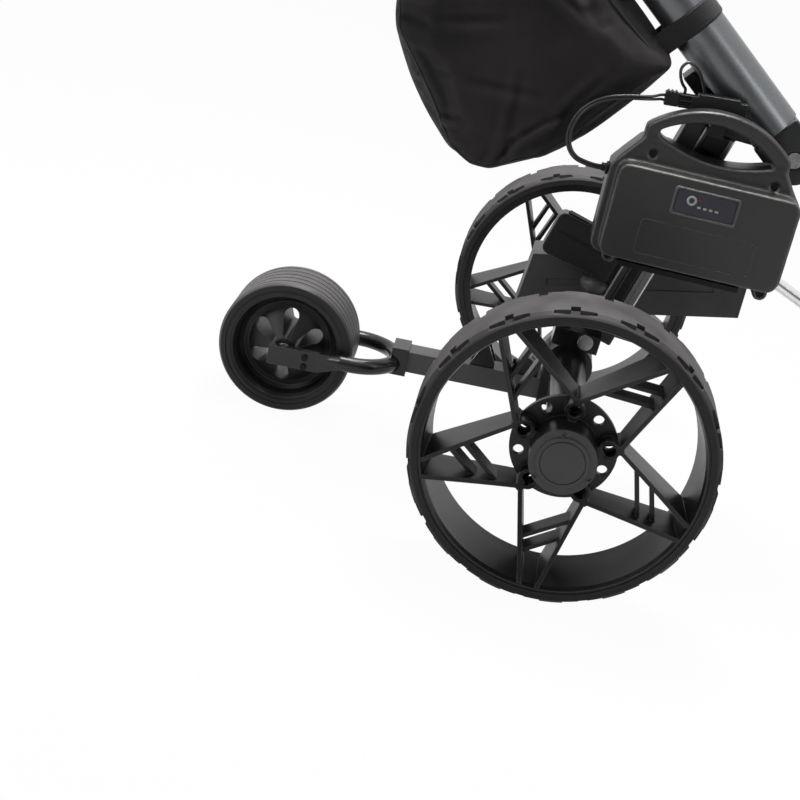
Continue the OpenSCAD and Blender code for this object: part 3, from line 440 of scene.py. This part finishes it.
# painted, moulded and rubber surfaces
looks = {
    "tyreRubber": {"dark": (0.026, 0.024, 0.024), "light": (0.060, 0.056, 0.056), "rough": 0.7,
                   "grainScale": 900, "grainDepth": 0.00016, "edge": 0.0012, "edgeWearAndSheen": 0.08,
                   "mottleScale": 26, "gloss": 0.25, "centre": (0, 0, 0.15), "side": 0.1462,
                   "shadedSideTone": (0.019, 0.018, 0.018)},
    "frontRubber": {"dark": (0.062, 0.058, 0.059), "light": (0.090, 0.085, 0.086), "rough": 0.5,
                    "grainScale": 900, "grainDepth": 0.00012, "edge": 0.0012, "edgeWearAndSheen": 0.05,
                    "mottleScale": 26, "gloss": 0.3, "centre": (-0.311, 0, 0.0765), "side": 0.0738,
                    "shadedSideTone": grey(0.016)},
    "tipRubber": {"dark": grey(0.020), "light": grey(0.030), "rough": 0.52, "grainScale": 900,
                  "grainDepth": 0.00012, "edge": 0.0012, "edgeWearAndSheen": 0.05, "mottleScale": 26,
                  "gloss": 0.3},
    "wheelPlastic": {"dark": grey(0.005, 0.04), "light": grey(0.012, 0.04), "rough": 0.36,
                     "grainScale": 1500, "grainDepth": 0.00004, "edge": 0.0014, "edgeWearAndSheen": 0.15,
                     "gloss": 0.32},
    "capPlastic": {"dark": grey(0.028, -0.02), "light": grey(0.040, -0.02), "rough": 0.4,
                   "grainScale": 1500, "grainDepth": 0.00005, "edge": 0.001, "edgeWearAndSheen": 0.08,
                   "gloss": 0.45},
    "casePlastic": {"dark": (0.0135, 0.0121, 0.0117), "light": (0.0185, 0.0168, 0.0160), "rough": 0.37,
                    "grainScale": 1800, "grainDepth": 0.00006, "edge": 0.0032, "edgeWearAndSheen": 0.30,
                    "gloss": 0.6},
    "boxPlastic": {"dark": grey(0.040), "light": grey(0.056), "rough": 0.46, "grainScale": 1800,
                   "grainDepth": 0.00006, "edge": 0.0012, "edgeWearAndSheen": 0.06, "gloss": 0.3},
    "blackPlastic": {"dark": grey(0.003), "light": grey(0.006), "rough": 0.4, "grainScale": 1500,
                     "grainDepth": 0.00004, "edge": 0.0008, "edgeWearAndSheen": 0.04, "gloss": 0.25},
    "cradlePlastic": {"dark": grey(0.0035), "light": grey(0.008), "rough": 0.3, "grainScale": 900,
                      "grainDepth": 0.00004, "edge": 0.0018, "edgeWearAndSheen": 0.22, "gloss": 0.35},
    "socketPlastic": {"dark": grey(0.006), "light": grey(0.011), "rough": 0.4, "grainScale": 1500,
                      "grainDepth": 0.00004, "edge": 0.001, "edgeWearAndSheen": 0.14, "gloss": 0.3},
    "forkPaint": {"dark": grey(0.009), "light": grey(0.015), "rough": 0.24, "grainScale": 700,
                  "grainDepth": 0.00003, "edge": 0.001, "roughSwing": 0.08, "edgeWearAndSheen": 0.12,
                  "gloss": 0.45},
    "powderCoat": {"dark": grey(0.003), "light": grey(0.006), "rough": 0.2, "grainScale": 700,
                   "grainDepth": 0.00003, "edge": 0.0008, "roughSwing": 0.08, "edgeWearAndSheen": 0.03,
                   "gloss": 0.4},
    "greyPaint": {"dark": grey(0.045), "light": grey(0.058), "rough": 0.3, "grainScale": 900,
                  "grainDepth": 0.00003, "edge": 0.0008, "edgeWearAndSheen": 0.08, "gloss": 0.4},
    "castPaint": {"dark": grey(0.012, -0.05), "light": grey(0.020, -0.05), "rough": 0.32,
                  "grainScale": 600, "grainDepth": 0.00008, "edge": 0.0016, "edgeWearAndSheen": 0.10,
                  "gloss": 0.4},
    "softGrip": {"dark": grey(0.010), "light": grey(0.017), "rough": 0.66, "grainScale": 420,
                 "grainDepth": 0.0002, "edge": 0.0015, "edgeWearAndSheen": 0.03, "gloss": 0.25},
    "leadSkin": {"dark": grey(0.018), "light": grey(0.028), "rough": 0.34, "grainScale": 700,
                 "grainDepth": 0.00003, "edge": 0.0005, "gloss": 0.5},
    "paleKnob": {"dark": grey(0.036), "light": grey(0.055), "rough": 0.45, "grainScale": 900,
                 "grainDepth": 0.00003, "edge": 0.001, "edgeWearAndSheen": 0.05},
    "ringGrey": {"dark": grey(0.34), "light": grey(0.42), "rough": 0.4, "grainScale": 900,
                 "grainDepth": 0.00002, "edge": 0.0004, "edgeWearAndSheen": 0.05},
    "lampLens": {"dark": (0.34, 0.32, 0.29), "light": (0.42, 0.40, 0.36), "rough": 0.3,
                 "grainScale": 900, "grainDepth": 0.00001, "edge": 0.0003},
    "redMark": {"dark": (0.20, 0.012, 0.012), "light": (0.26, 0.02, 0.02), "rough": 0.4,
                "grainScale": 900, "grainDepth": 0.00001, "edge": 0.0003},
    "screenGlass": {"dark": (0.024, 0.025, 0.035), "light": (0.028, 0.029, 0.040), "rough": 0.2,
                    "grainScale": 300, "grainDepth": 0.000004, "edge": 0.0005, "roughSwing": 0.04,
                    "gloss": 0.4},
    "darkScrew": {"dark": grey(0.002), "light": grey(0.004), "rough": 0.4, "grainScale": 1600,
                  "grainDepth": 0.00004, "edge": 0.0004, "gloss": 0.2},
}
brushed = {
    "braceAlloy": {"dark": grey(0.36), "light": grey(0.50), "rough": 0.34, "lineScale": 90,
                   "stretch": (40, 40, 1), "lineDepth": 0.00003},
    "tubeAlloy": {"dark": grey(0.15, -0.04), "light": grey(0.18, -0.04), "rough": 0.32,
                  "lineScale": 500, "stretch": (1, 1, 1), "lineDepth": 0.000006, "metal": 0.85,
                  "smudge": 0.08},
    "brightSteel": {"dark": grey(0.50), "light": grey(0.64), "rough": 0.22, "lineScale": 200,
                    "stretch": (1, 1, 1), "lineDepth": 0.00001},
    "boltSteel": {"dark": grey(0.20), "light": grey(0.34), "rough": 0.3, "lineScale": 200,
                  "stretch": (1, 1, 1), "lineDepth": 0.00002},
    "chromeTube": {"dark": grey(0.74), "light": grey(0.80), "rough": 0.08, "lineScale": 60,
                   "stretch": (1, 1, 1), "lineDepth": 0.000005},
    "copperWire": {"dark": (0.5, 0.22, 0.1), "light": (0.7, 0.36, 0.2), "rough": 0.4, "lineScale": 300,
                   "stretch": (1, 6, 1), "lineDepth": 0.0001},
}
finishes = {name: mouldedFinish(name, look) for name, look in looks.items()}
finishes.update({name: brushedFinish(name, look) for name, look in brushed.items()})

# the mast's grooved section: bands across its depth, painted dark in the grooves as painted shade and
# pale at its front edge and its rear edge as painted reflections
mastShadeAndGlintBands = {
    "pivot": (0.010, 0.184),
    "lean": 13,
    "front": -0.0043,
    "depth": 0.035,
    "step": 0.006,
    "lineScale": 120,
    "stretch": (40, 40, 2),
    "lineDepth": 0.00002,
    "lineTone": grey(0.09),
    "lineShare": 0.35,
    "rough": 0.28,
    "edge": 0.0006,
    "bands": [(0.0, 0.40), (0.05, 0.040), (0.20, 0.008), (0.26, 0.050), (0.31, 0.006), (0.57, 0.09),
              (0.59, 0.006), (0.64, 0.15), (0.955, 0.85)],
}


def mastFinish(name, look):
    f = Finish(name, Metallic=1.0)
    x, z = f.part(0) - look["pivot"][0], f.part(2) - look["pivot"][1]
    lean = math.radians(look["lean"])
    across = (x * math.cos(lean) - z * math.sin(lean) - look["front"]) / look["depth"]
    # the ramp paints shade into the grooves and reflections onto the front and rear edges
    stops = []
    for i, (start, level) in enumerate(look["bands"]):
        if i:
            stops.append((start, grey(look["bands"][i - 1][1])))
        stops.append((start + look["step"], grey(level)))
    lines = f.noise(look["lineScale"], 3, 0.6, stretch=look["stretch"])
    drawn = f.remap(lines, *noiseSpan, 0, look["lineShare"])
    tone = f.blend(drawn, f.ramp(across, stops), look["lineTone"])
    soft = f.bevel(look["edge"])
    return f.set(Base_Color=tone, Roughness=look["rough"] + (lines - 0.5) * 0.2,
                 Normal=f.bump(lines, look["lineDepth"], soft)).material


finishes["mastAlloy"] = mastFinish("mastAlloy", mastShadeAndGlintBands)

# woven cloth: two crossing threads and a slow crumple, paler where it is rubbed; painted shade in each
# crease and a painted highlight on each ridge
weaves = {
    "bagCloth": {"dark": (0.0045, 0.0040, 0.0039), "light": (0.0330, 0.0300, 0.0295), "thread": 1150,
                 "depth": 0.00022, "crumple": 38, "crumpleDepth": 0.0016, "rough": 0.78},
    "webbing": {"dark": grey(0.010), "light": grey(0.022), "thread": 900, "depth": 0.0003,
                "crumple": 60, "crumpleDepth": 0.0003, "rough": 0.7},
}


threadSlant = (130, 90)
rubbed = {"scale": 9, "span": (0.35, 0.65), "share": 0.4}
creaseShadeAndSheenSpan = {"span": (0.46, 0.54), "share": (-0.6, 0.8)}


def wovenFinish(name, look):
    f = Finish(name, Specular_IOR_Level=0.15, Sheen_Weight=0.08, Sheen_Roughness=0.5)
    warp = (f.part(0) * look["thread"] * math.pi + f.part(1) * threadSlant[0]).math("SINE")
    weft = (f.part(2) * look["thread"] * math.pi + f.part(1) * threadSlant[1]).math("SINE")
    weave = warp * weft * 0.5 + 0.5
    crumple = f.noise(look["crumple"], 4, 0.55)
    wearAndSheen = f.noise(rubbed["scale"], 3)
    # painted shade and highlight: darker in each crease, paler on each ridge, by the mesh's pointiness
    creaseShadeAndRidgeSheen = f.remap(f.node("NewGeometry", out="Pointiness"), *creaseShadeAndSheenSpan["span"], *creaseShadeAndSheenSpan["share"])
    pale = (weave * 0.3 + f.remap(wearAndSheen, *rubbed["span"], 0, rubbed["share"]) + creaseShadeAndRidgeSheen).clip()
    tone = f.blend(pale, look["dark"], look["light"])
    folds = f.bump(crumple, look["crumpleDepth"])
    return f.set(Base_Color=tone, Roughness=look["rough"] + (wearAndSheen - 0.5) * 0.2,
                 Normal=f.bump(weave, look["depth"], folds)).material


finishes.update({name: wovenFinish(name, look) for name, look in weaves.items()})
print("finishes made:", len(finishes))

dressing = {
    "tyreRubber": ["left_tyre", "right_tyre"],
    "frontRubber": ["front_tyre"],
    "tipRubber": ["anti_tip_wheel"],
    "wheelPlastic": ["left_rim", "right_rim", "front_rim"],
    "capPlastic": ["left_cap", "right_cap"],
    "casePlastic": ["battery_front", "battery_rear", "speed_dial"],
    "boxPlastic": ["controller_front", "controller_back", "console"],
    "socketPlastic": ["battery_plug", "battery_socket"],
    "forkPaint": ["fork"],
    "cradlePlastic": ["lower_cradle"],
    "blackPlastic": ["cradle_bracket", "battery_tray", "lead_boot", "socket_cable", "battery_lead",
                     "cable_cover", "fold_lever", "upper_cradle", "storage_bag", "battery_cells",
                     "control_board"],
    "softGrip": ["grips", "cradle_pad"],
    "powderCoat": ["axle_tube", "axle_block", "boom_collar", "brace_bracket", "anti_tip_socket"],
    "greyPaint": ["boom"],
    "castPaint": ["mast_head", "mast_foot", "post_knuckle"],
    "tubeAlloy": ["post_tube", "handle_bar"],
    "mastAlloy": ["mast"],
    "braceAlloy": ["brace"],
    "screenGlass": ["battery_panel", "console_display", "power_button"],
    "ringGrey": ["console_button"],
    "darkScrew": ["fork_screws", "battery_screws"],
    "boltSteel": ["hinge_bolt"],
    "brightSteel": ["mast_pin", "drive_units", "front_axle", "left_shaft", "right_shaft"],
    "chromeTube": ["anti_tip_rod"],
    "copperWire": ["left_rotor", "right_rotor"],
}
for finish, names in dressing.items():
    dress(finishes[finish], *names)
print("nodes dressed")

record = frame["record"]
bodyOf = {node: body for body, names in record["behaviour"]["bodies"].items() for node in names}
slotOf = {part["node"]: part["material_slot"] for part in record["subparts"]}

# where the battery case and the handle post sit, in millimetres, and how far they are turned
mountings = {
    "case": {"place": (80, -58, 346), "turn": -2.5},
    "post": {"place": (163, 0, 433), "turn": 216.5},
}


def mounted(part):
    turn = Matrix.Rotation(math.radians(mountings[part]["turn"]), 4, "Y")
    return Matrix.Translation(mm(*mountings[part]["place"])) @ turn


caseFrame = mounted("case")
postFrame = mounted("post") @ Matrix.Diagonal((1, 1, -1, 1))
postAcross = postFrame.to_3x3() @ Vector((0, 1, 0))

# both cords, as points in millimetres
lead = {
    "points": [(-29, -52, 377), (-37, -53, 376), (-48, -56, 377), (-60, -58, 380), (-69, -59, 388),
               (-74, -60, 401), (-73, -60, 416), (-67, -60, 430), (-56, -60, 442), (-42, -60, 450),
               (-26, -58, 455), (-12, -56, 458), (-1, -51, 460), (7, -44, 462), (13, -38, 462)],
    "wire": 3.0,
    "sides": (-1, 1),
    "gap": 1.5,
    "spread": 1.5,
    "spreadFrom": 0.85,
    "smooth": 4,  # points added between each two of the route's
    "with": ["battery_plug"],
    "farEnd": "plug",
}
thinCable = {
    "points": [(30, -38, 471), (29, -39, 476), (24, -46, 481), (19, -54, 489), (17, -58, 498),
               (22, -58, 505), (31, -54, 503), (39, -45, 495), (46, -36, 484), (54, -27, 471),
               (62, -20, 459), (70, -15, 449), (76, -11, 444)],
    "wire": 3.2,
    "sides": (0,),
    "gap": 0,
    "spread": 0,
    "spreadFrom": 0.85,
    "smooth": 4,
    "with": [],
    "farEnd": "object",
}


def makeCord(name, look, node):
    def offset(t):
        opened = max(0, t - look["spreadFrom"]) / (1 - look["spreadFrom"])
        return (look["gap"] + look["spread"] * opened) / 1000

    route = catmull([mm(*p) for p in look["points"]], look["smooth"])
    length = sum((b - a).length for a, b in zip(route, route[1:]))
    across = Vector((0.05, 1, 0.1)).normalized()
    bm = bmesh.new()
    for side in look["sides"]:
        sweep(bm, route, look["wire"] / 2000, across, lambda t: side * offset(t))
    piece = addPiece(name, fromBmesh(name, bm), finishes["leadSkin"], bodyOf[node], slotOf[node], node)


makeCord("twinLead", lead, "battery_lead")
makeCord("thinCable", thinCable, "socket_cable")
print("cords made")

# cast and moulded parts whose edges are eased
castings = {
    "lower_cradle": {"voxel": 1.0, "rounds": 3, "keep": 0.4, "finish": "cradlePlastic"},
    "cradle_pad": {"voxel": 1.0, "rounds": 6, "keep": 0.6, "finish": "softGrip"},
    "post_knuckle": {"voxel": 1.6, "rounds": 6, "keep": 0.4, "finish": "castPaint"},
    "mast_head": {"voxel": 1.3, "rounds": 4, "keep": 0.4, "finish": "castPaint"},
    "mast_foot": {"voxel": 1.3, "rounds": 4, "keep": 0.4, "finish": "castPaint"},
    "console": {"voxel": 1.5, "rounds": 8, "keep": 0.4, "finish": "casePlastic"},
    "upper_cradle": {"voxel": 1.6, "rounds": 7, "keep": 0.5, "finish": "blackPlastic"},
    "fold_lever": {"voxel": 1.0, "rounds": 7, "keep": 0.6, "finish": "blackPlastic"},
    "cable_cover": {"voxel": 1.3, "rounds": 6, "keep": 0.5, "finish": "blackPlastic"},
    "battery_socket": {"voxel": 0.8, "rounds": 3, "keep": 0.6, "finish": "socketPlastic"},
    "battery_plug": {"voxel": 0.6, "rounds": 2, "keep": 0.8, "finish": "socketPlastic"},
    "lead_boot": {"voxel": 0.5, "rounds": 4, "keep": 0.7, "finish": "blackPlastic"},
}


battery = {"voxel": 1.25, "rounds": 4, "keep": 0.4, "handleAbove": 52, "handleRounds": 16}


# both shells as one moulding: its edges eased, and the carrying handle above them rounded further
def makeBatteryCase():
    bm = bmesh.new()
    for node in ("battery_front", "battery_rear"):
        bm.from_mesh(nodes[node].data)
    mesh = shaped("batteryCase", fromBmesh("batteryRaw", bm), *easing(battery))
    back = caseFrame.inverted()
    bm = bmesh.new()
    bm.from_mesh(mesh)
    handle = [v for v in bm.verts if (back @ v.co).z * 1000 > battery["handleAbove"]]
    for _ in range(battery["handleRounds"]):
        bmesh.ops.smooth_vert(bm, verts=handle, factor=0.5, use_axis_x=True, use_axis_y=True,
                              use_axis_z=True)
    mesh = shaped("batteryCase", fromBmesh("batteryEased", bm), ("DECIMATE", {"ratio": battery["keep"]}))
    addPiece("batteryCase", mesh, finishes["casePlastic"], "battery", slotOf["battery_front"],
             "battery_front", "battery_rear")


def makeCastings():
    for node, look in castings.items():
        steps = easing(look) + [("DECIMATE", {"ratio": look["keep"]})]
        mesh = shaped(node + "Soft", nodes[node].data.copy(), *steps)
        name = node.replace("_", "") + "Cast"
        addPiece(name, mesh, finishes[look["finish"]], bodyOf[node], slotOf[node], node)


makeCastings()
makeBatteryCase()
print("castings rounded")

# what stands on the battery's face, in the case's own frame
display = {
    "face": -34.2,
    "frame": {"centre": (2, 28), "length": 70, "height": 31, "corner": 4, "rim": 3.2, "rise": 1.3,
              "lift": 0.2},
    "blank": {"centre": (3, -17), "length": 122, "height": 38, "corner": 5, "rim": 0.9, "rise": 0.35,
              "lift": 0.3},
    "button": {"place": (-13, 31), "radius": 4.1, "thick": 1.2, "lift": -0.6},
    "lamps": {"start": (-4, 25.4), "step": (6.2, -0.1), "count": 4, "lift": 0.2,
              "pad": {"length": 3.9, "height": 2.2, "corner": 0.9, "rise": 0.9, "edge": 0.5}},
    "mark": {"place": (-4.5, 33), "lift": 0.1,
             "pad": {"length": 2.6, "height": 2.0, "corner": 0.6, "rise": 0.7, "edge": 0.3}},
}
# steps across a frame's rim, and how far each stands up
ringProfile = [(0, 0), (0, 0.6), (0.25, 0.9), (0.5, 1.0), (0.75, 0.9), (1, 0.6), (1, 0)]


# a flat rounded frame, its inner and outer edges eased
def ringSlab(bm, look, matrix):
    rings = []
    for inset, rise in ringProfile:
        outline = roundedOutline(look["length"], look["height"], look["corner"], inset * look["rim"], 5)
        rings.append([bm.verts.new(matrix @ mm(x, -rise * look["rise"], z)) for x, z in outline])
    bridge(bm, rings + rings[:1])


def onFace(x, z, lift):
    return caseFrame @ Matrix.Translation(mm(x, display["face"] + lift, z))


def addToFace(name, bm, finish):
    node = "battery_front"
    addPiece(name, fromBmesh(name, bm), finishes[finish], bodyOf[node], slotOf[node])


def makeDisplay():
    bm = bmesh.new()
    for look in (display["frame"], display["blank"]):
        ringSlab(bm, look, onFace(*look["centre"], look["lift"]))
    addToFace("displayFrame", bm, "casePlastic")
    bm = bmesh.new()
    button = display["button"]
    x, z = button["place"]
    r = button["radius"]
    route = [mm(x + r * math.cos(a), display["face"] + button["lift"], z + r * math.sin(a))
             for a in circle(24) + [2 * math.pi]]
    sweep(bm, [caseFrame @ p for p in route], button["thick"] / 1000, Vector((0, 1, 0)), sides=8)
    addToFace("buttonRing", bm, "ringGrey")
    bm = bmesh.new()
    lamp = display["lamps"]
    for i in range(lamp["count"]):
        x, z = (start + i * step for start, step in zip(lamp["start"], lamp["step"]))
        padSlab(bm, lamp["pad"], onFace(x, z, lamp["lift"]))
    addToFace("displayLamps", bm, "lampLens")
    bm = bmesh.new()
    padSlab(bm, display["mark"]["pad"], onFace(*display["mark"]["place"], display["mark"]["lift"]))
    addToFace("displayMark", bm, "redMark")


makeDisplay()
print("display made")

# the storage bag, in the post's own frame; a fold has its two ends, its depth and its width
bag = {
    "outline": [(-3, -40), (-3, -166), (5, -208), (30, -262), (48, -276), (80, -282), (163, -264),
                (211, -248), (238, -227), (251, -186), (248, -40)],
    "start": 157,
    "half": 44,
    "layers": [(-1, 0.94), (-0.7, 1.0), (0.7, 1.0), (1, 0.94)],
    "voxel": 5,
    "rounds": 4,
    "pressure": 4.0,
    "frames": 20,
    "cap": 9,
    "folds": [((34, -252), (43, -216), 8.0, 6), ((43, -216), (39, -179), 8.0, 6),
              ((39, -179), (32, -160), 6.0, 6), ((94, -170), (30, -244), 3.4, 9),
              ((114, -268), (94, -248), 6.0, 6), ((122, -215), (66, -168), 3.4, 10),
              ((39, -108), (36, -158), 4.0, 8), ((190, -200), (150, -150), 4.0, 9),
              ((226, -180), (196, -120), 4.5, 8), ((150, -90), (80, -78), 4.0, 9)],
    "sag": {"depth": 1.6, "along": 17, "up": 29, "height": -60, "reach": 60},
    "faceAt": 46,
    "faceReach": 22,
    "fill": 0.5,
}
binding = {"thick": 2.6, "outside": 1.02, "beyond": 3, "steps": 8, "smooth": 3}
loops = {
    "places": [182, 352],
    "width": 24,
    "round": 31.2,
    "corners": 48,
    "profile": [(-0.5, -1.2), (-0.42, 0), (0.42, 0), (0.5, -1.2)],
    "tab": [(-12, 27, -12), (12, 27, -12), (12, 20, -44), (-12, 20, -44),
            (-12, 25, -12), (12, 25, -12), (12, 18, -44), (-12, 18, -44)],
    "tabFaces": [(0, 1, 2, 3), (7, 6, 5, 4), (0, 4, 5, 1), (1, 5, 6, 2), (2, 6, 7, 3), (3, 7, 4, 0)],
}


# the bag's outline, drawn in or let out from its middle
def bagOutline(size):
    along = sum(p[0] for p in bag["outline"]) / len(bag["outline"])
    high = sum(p[1] for p in bag["outline"]) / len(bag["outline"])
    return [(bag["start"] + along + (s - along) * size, high + (h - high) * size)
            for s, h in bag["outline"]]


def bagSolid():
    bm = bmesh.new()
    rings = [[bm.verts.new(postFrame @ mm(s, y * bag["half"], h)) for s, h in bagOutline(size)]
             for y, size in bag["layers"]]
    bridge(bm, rings)
    bm.faces.new(rings[0][::-1])
    bm.faces.new(rings[-1])
    return fromBmesh("bagSolid", bm)


# blown up a little as cloth, with how far it may move capped
def inflate(mesh):
    cloth = bpy.data.objects.new("bagCloth", mesh)
    bpy.context.collection.objects.link(cloth)
    rest = [v.co.copy() for v in mesh.vertices]
    modifier = cloth.modifiers.new("cloth", "CLOTH")
    modifier.settings.quality = 4
    modifier.settings.use_pressure = True
    modifier.settings.uniform_pressure_force = bag["pressure"]
    modifier.settings.effector_weights.gravity = 0
    modifier.point_cache.frame_start = 1
    modifier.point_cache.frame_end = bag["frames"]
    for step in range(1, bag["frames"] + 1):
        bpy.context.scene.frame_set(step)
    blown = cloth.evaluated_get(bpy.context.evaluated_depsgraph_get()).to_mesh()
    cap = bag["cap"] / 1000
    for v, old, new in zip(mesh.vertices, rest, [v.co.copy() for v in blown.vertices]):
        move = new - old
        v.co = old + move * min(1, cap / max(move.length, 1e-9))
    bpy.data.objects.remove(cloth)
    bpy.context.scene.frame_set(1)
    return mesh


# how far one fold pushes a point of the bag's side: a groove with a ridge beside it
def foldPush(p, fold):
    (s0, h0), (s1, h1), depth, width = fold
    a, b = Vector((s0 + bag["start"], h0)), Vector((s1 + bag["start"], h1))
    q = Vector((p.x, p.z))
    t = max(0, min(1, (q - a).dot(b - a) / (b - a).length_squared))
    away = q - (a + (b - a) * t)
    side = away.dot(Vector((-(b - a).y, (b - a).x)).normalized())
    groove = -math.exp(-(away.length * 2 / width) ** 2)
    ridge = 0.9 * math.exp(-((side - width) / width) ** 2) * math.exp(-(away.length / width / 2) ** 2)
    return depth * (groove + ridge) * (0.4 + 0.6 * math.sin(math.pi * t))


def foldBag(mesh):
    back = postFrame.inverted()
    sag = bag["sag"]
    for v in mesh.vertices:
        p = back @ v.co * 1000
        push = sum(foldPush(p, fold) for fold in bag["folds"])
        push += (sag["depth"] * math.sin(p.x / sag["along"] + p.z / sag["up"])
                 * math.exp(-((p.z - sag["height"]) / sag["reach"]) ** 2))
        edge = max(0, 1 - abs(abs(p.y) - bag["faceAt"]) / bag["faceReach"])
        v.co += postAcross * ((1 if p.y > 0 else -1) * push * edge / 1000)
    return mesh


# binding that runs round both faces, laid on the finished cloth
def bagBinding(mesh):
    tree = BVHTree.FromPolygons([v.co for v in mesh.vertices], [f.vertices for f in mesh.polygons])
    bm = bmesh.new()
    outline = [Vector(p) for p in bagOutline(binding["outside"])]
    for side in (-1, 1):
        loop = []
        for a, b in zip(outline, outline[1:] + outline[:1]):
            for k in range(binding["steps"]):
                q = a + (b - a) * k / binding["steps"]
                out = side * (bag["half"] + binding["beyond"])
                loop.append(tree.find_nearest(postFrame @ mm(q.x, out, q.y))[0])
        for _ in range(binding["smooth"]):
            loop = [(loop[k - 1] + loop[k] * 2 + loop[(k + 1) % len(loop)]) / 4
                    for k in range(len(loop))]
        sweep(bm, loop + [loop[0]], binding["thick"] / 2000, postAcross, sides=8)
    return fromBmesh("bagBinding", bm)


def bagLoops():
    bm = bmesh.new()
    for s in loops["places"]:
        rings = []
        for along, rise in loops["profile"]:
            x, r = s + along * loops["width"], loops["round"] + rise
            rings.append([bm.verts.new(postFrame @ mm(x, r * math.sin(a), r * math.cos(a)))
                          for a in circle(loops["corners"])])
        bridge(bm, rings)
        for side in (-1, 1):
            tab = [bm.verts.new(postFrame @ mm(s + x, side * y, h)) for x, y, h in loops["tab"]]
            for corners in loops["tabFaces"]:
                bm.faces.new([tab[c] for c in corners])
    return fromBmesh("bagLoops", bm, False)


def makeBag():
    mesh = shaped("bagCloth", bagSolid(), *easing(bag))
    mesh = inflate(mesh)
    mesh = shaped("bagShell", foldBag(mesh), ("SUBSURF", {"levels": 1}))
    body, slot = bodyOf["storage_bag"], slotOf["storage_bag"]
    piece = addPiece("bagShell", mesh, finishes["bagCloth"], body, slot, "storage_bag")
    addPiece("bagBinding", bagBinding(mesh), finishes["webbing"], body, slot)
    addPiece("bagLoops", bagLoops(), finishes["webbing"], body, slot)


makeBag()
print("bag made")

# the rounded knob between the box and the mast
knob = {"place": (6, 2, 238), "size": (19, 18, 11), "around": 32, "up": 16}


def makeKnob():
    bm = bmesh.new()
    bmesh.ops.create_uvsphere(bm, u_segments=knob["around"], v_segments=knob["up"], radius=1)
    for v in bm.verts:
        v.co = v.co * mm(*knob["size"]) + mm(*knob["place"])
    addPiece("boxKnob", fromBmesh("boxKnob", bm), finishes["paleKnob"], "mast",
             slotOf["controller_front"])


makeKnob()
print("knob made")
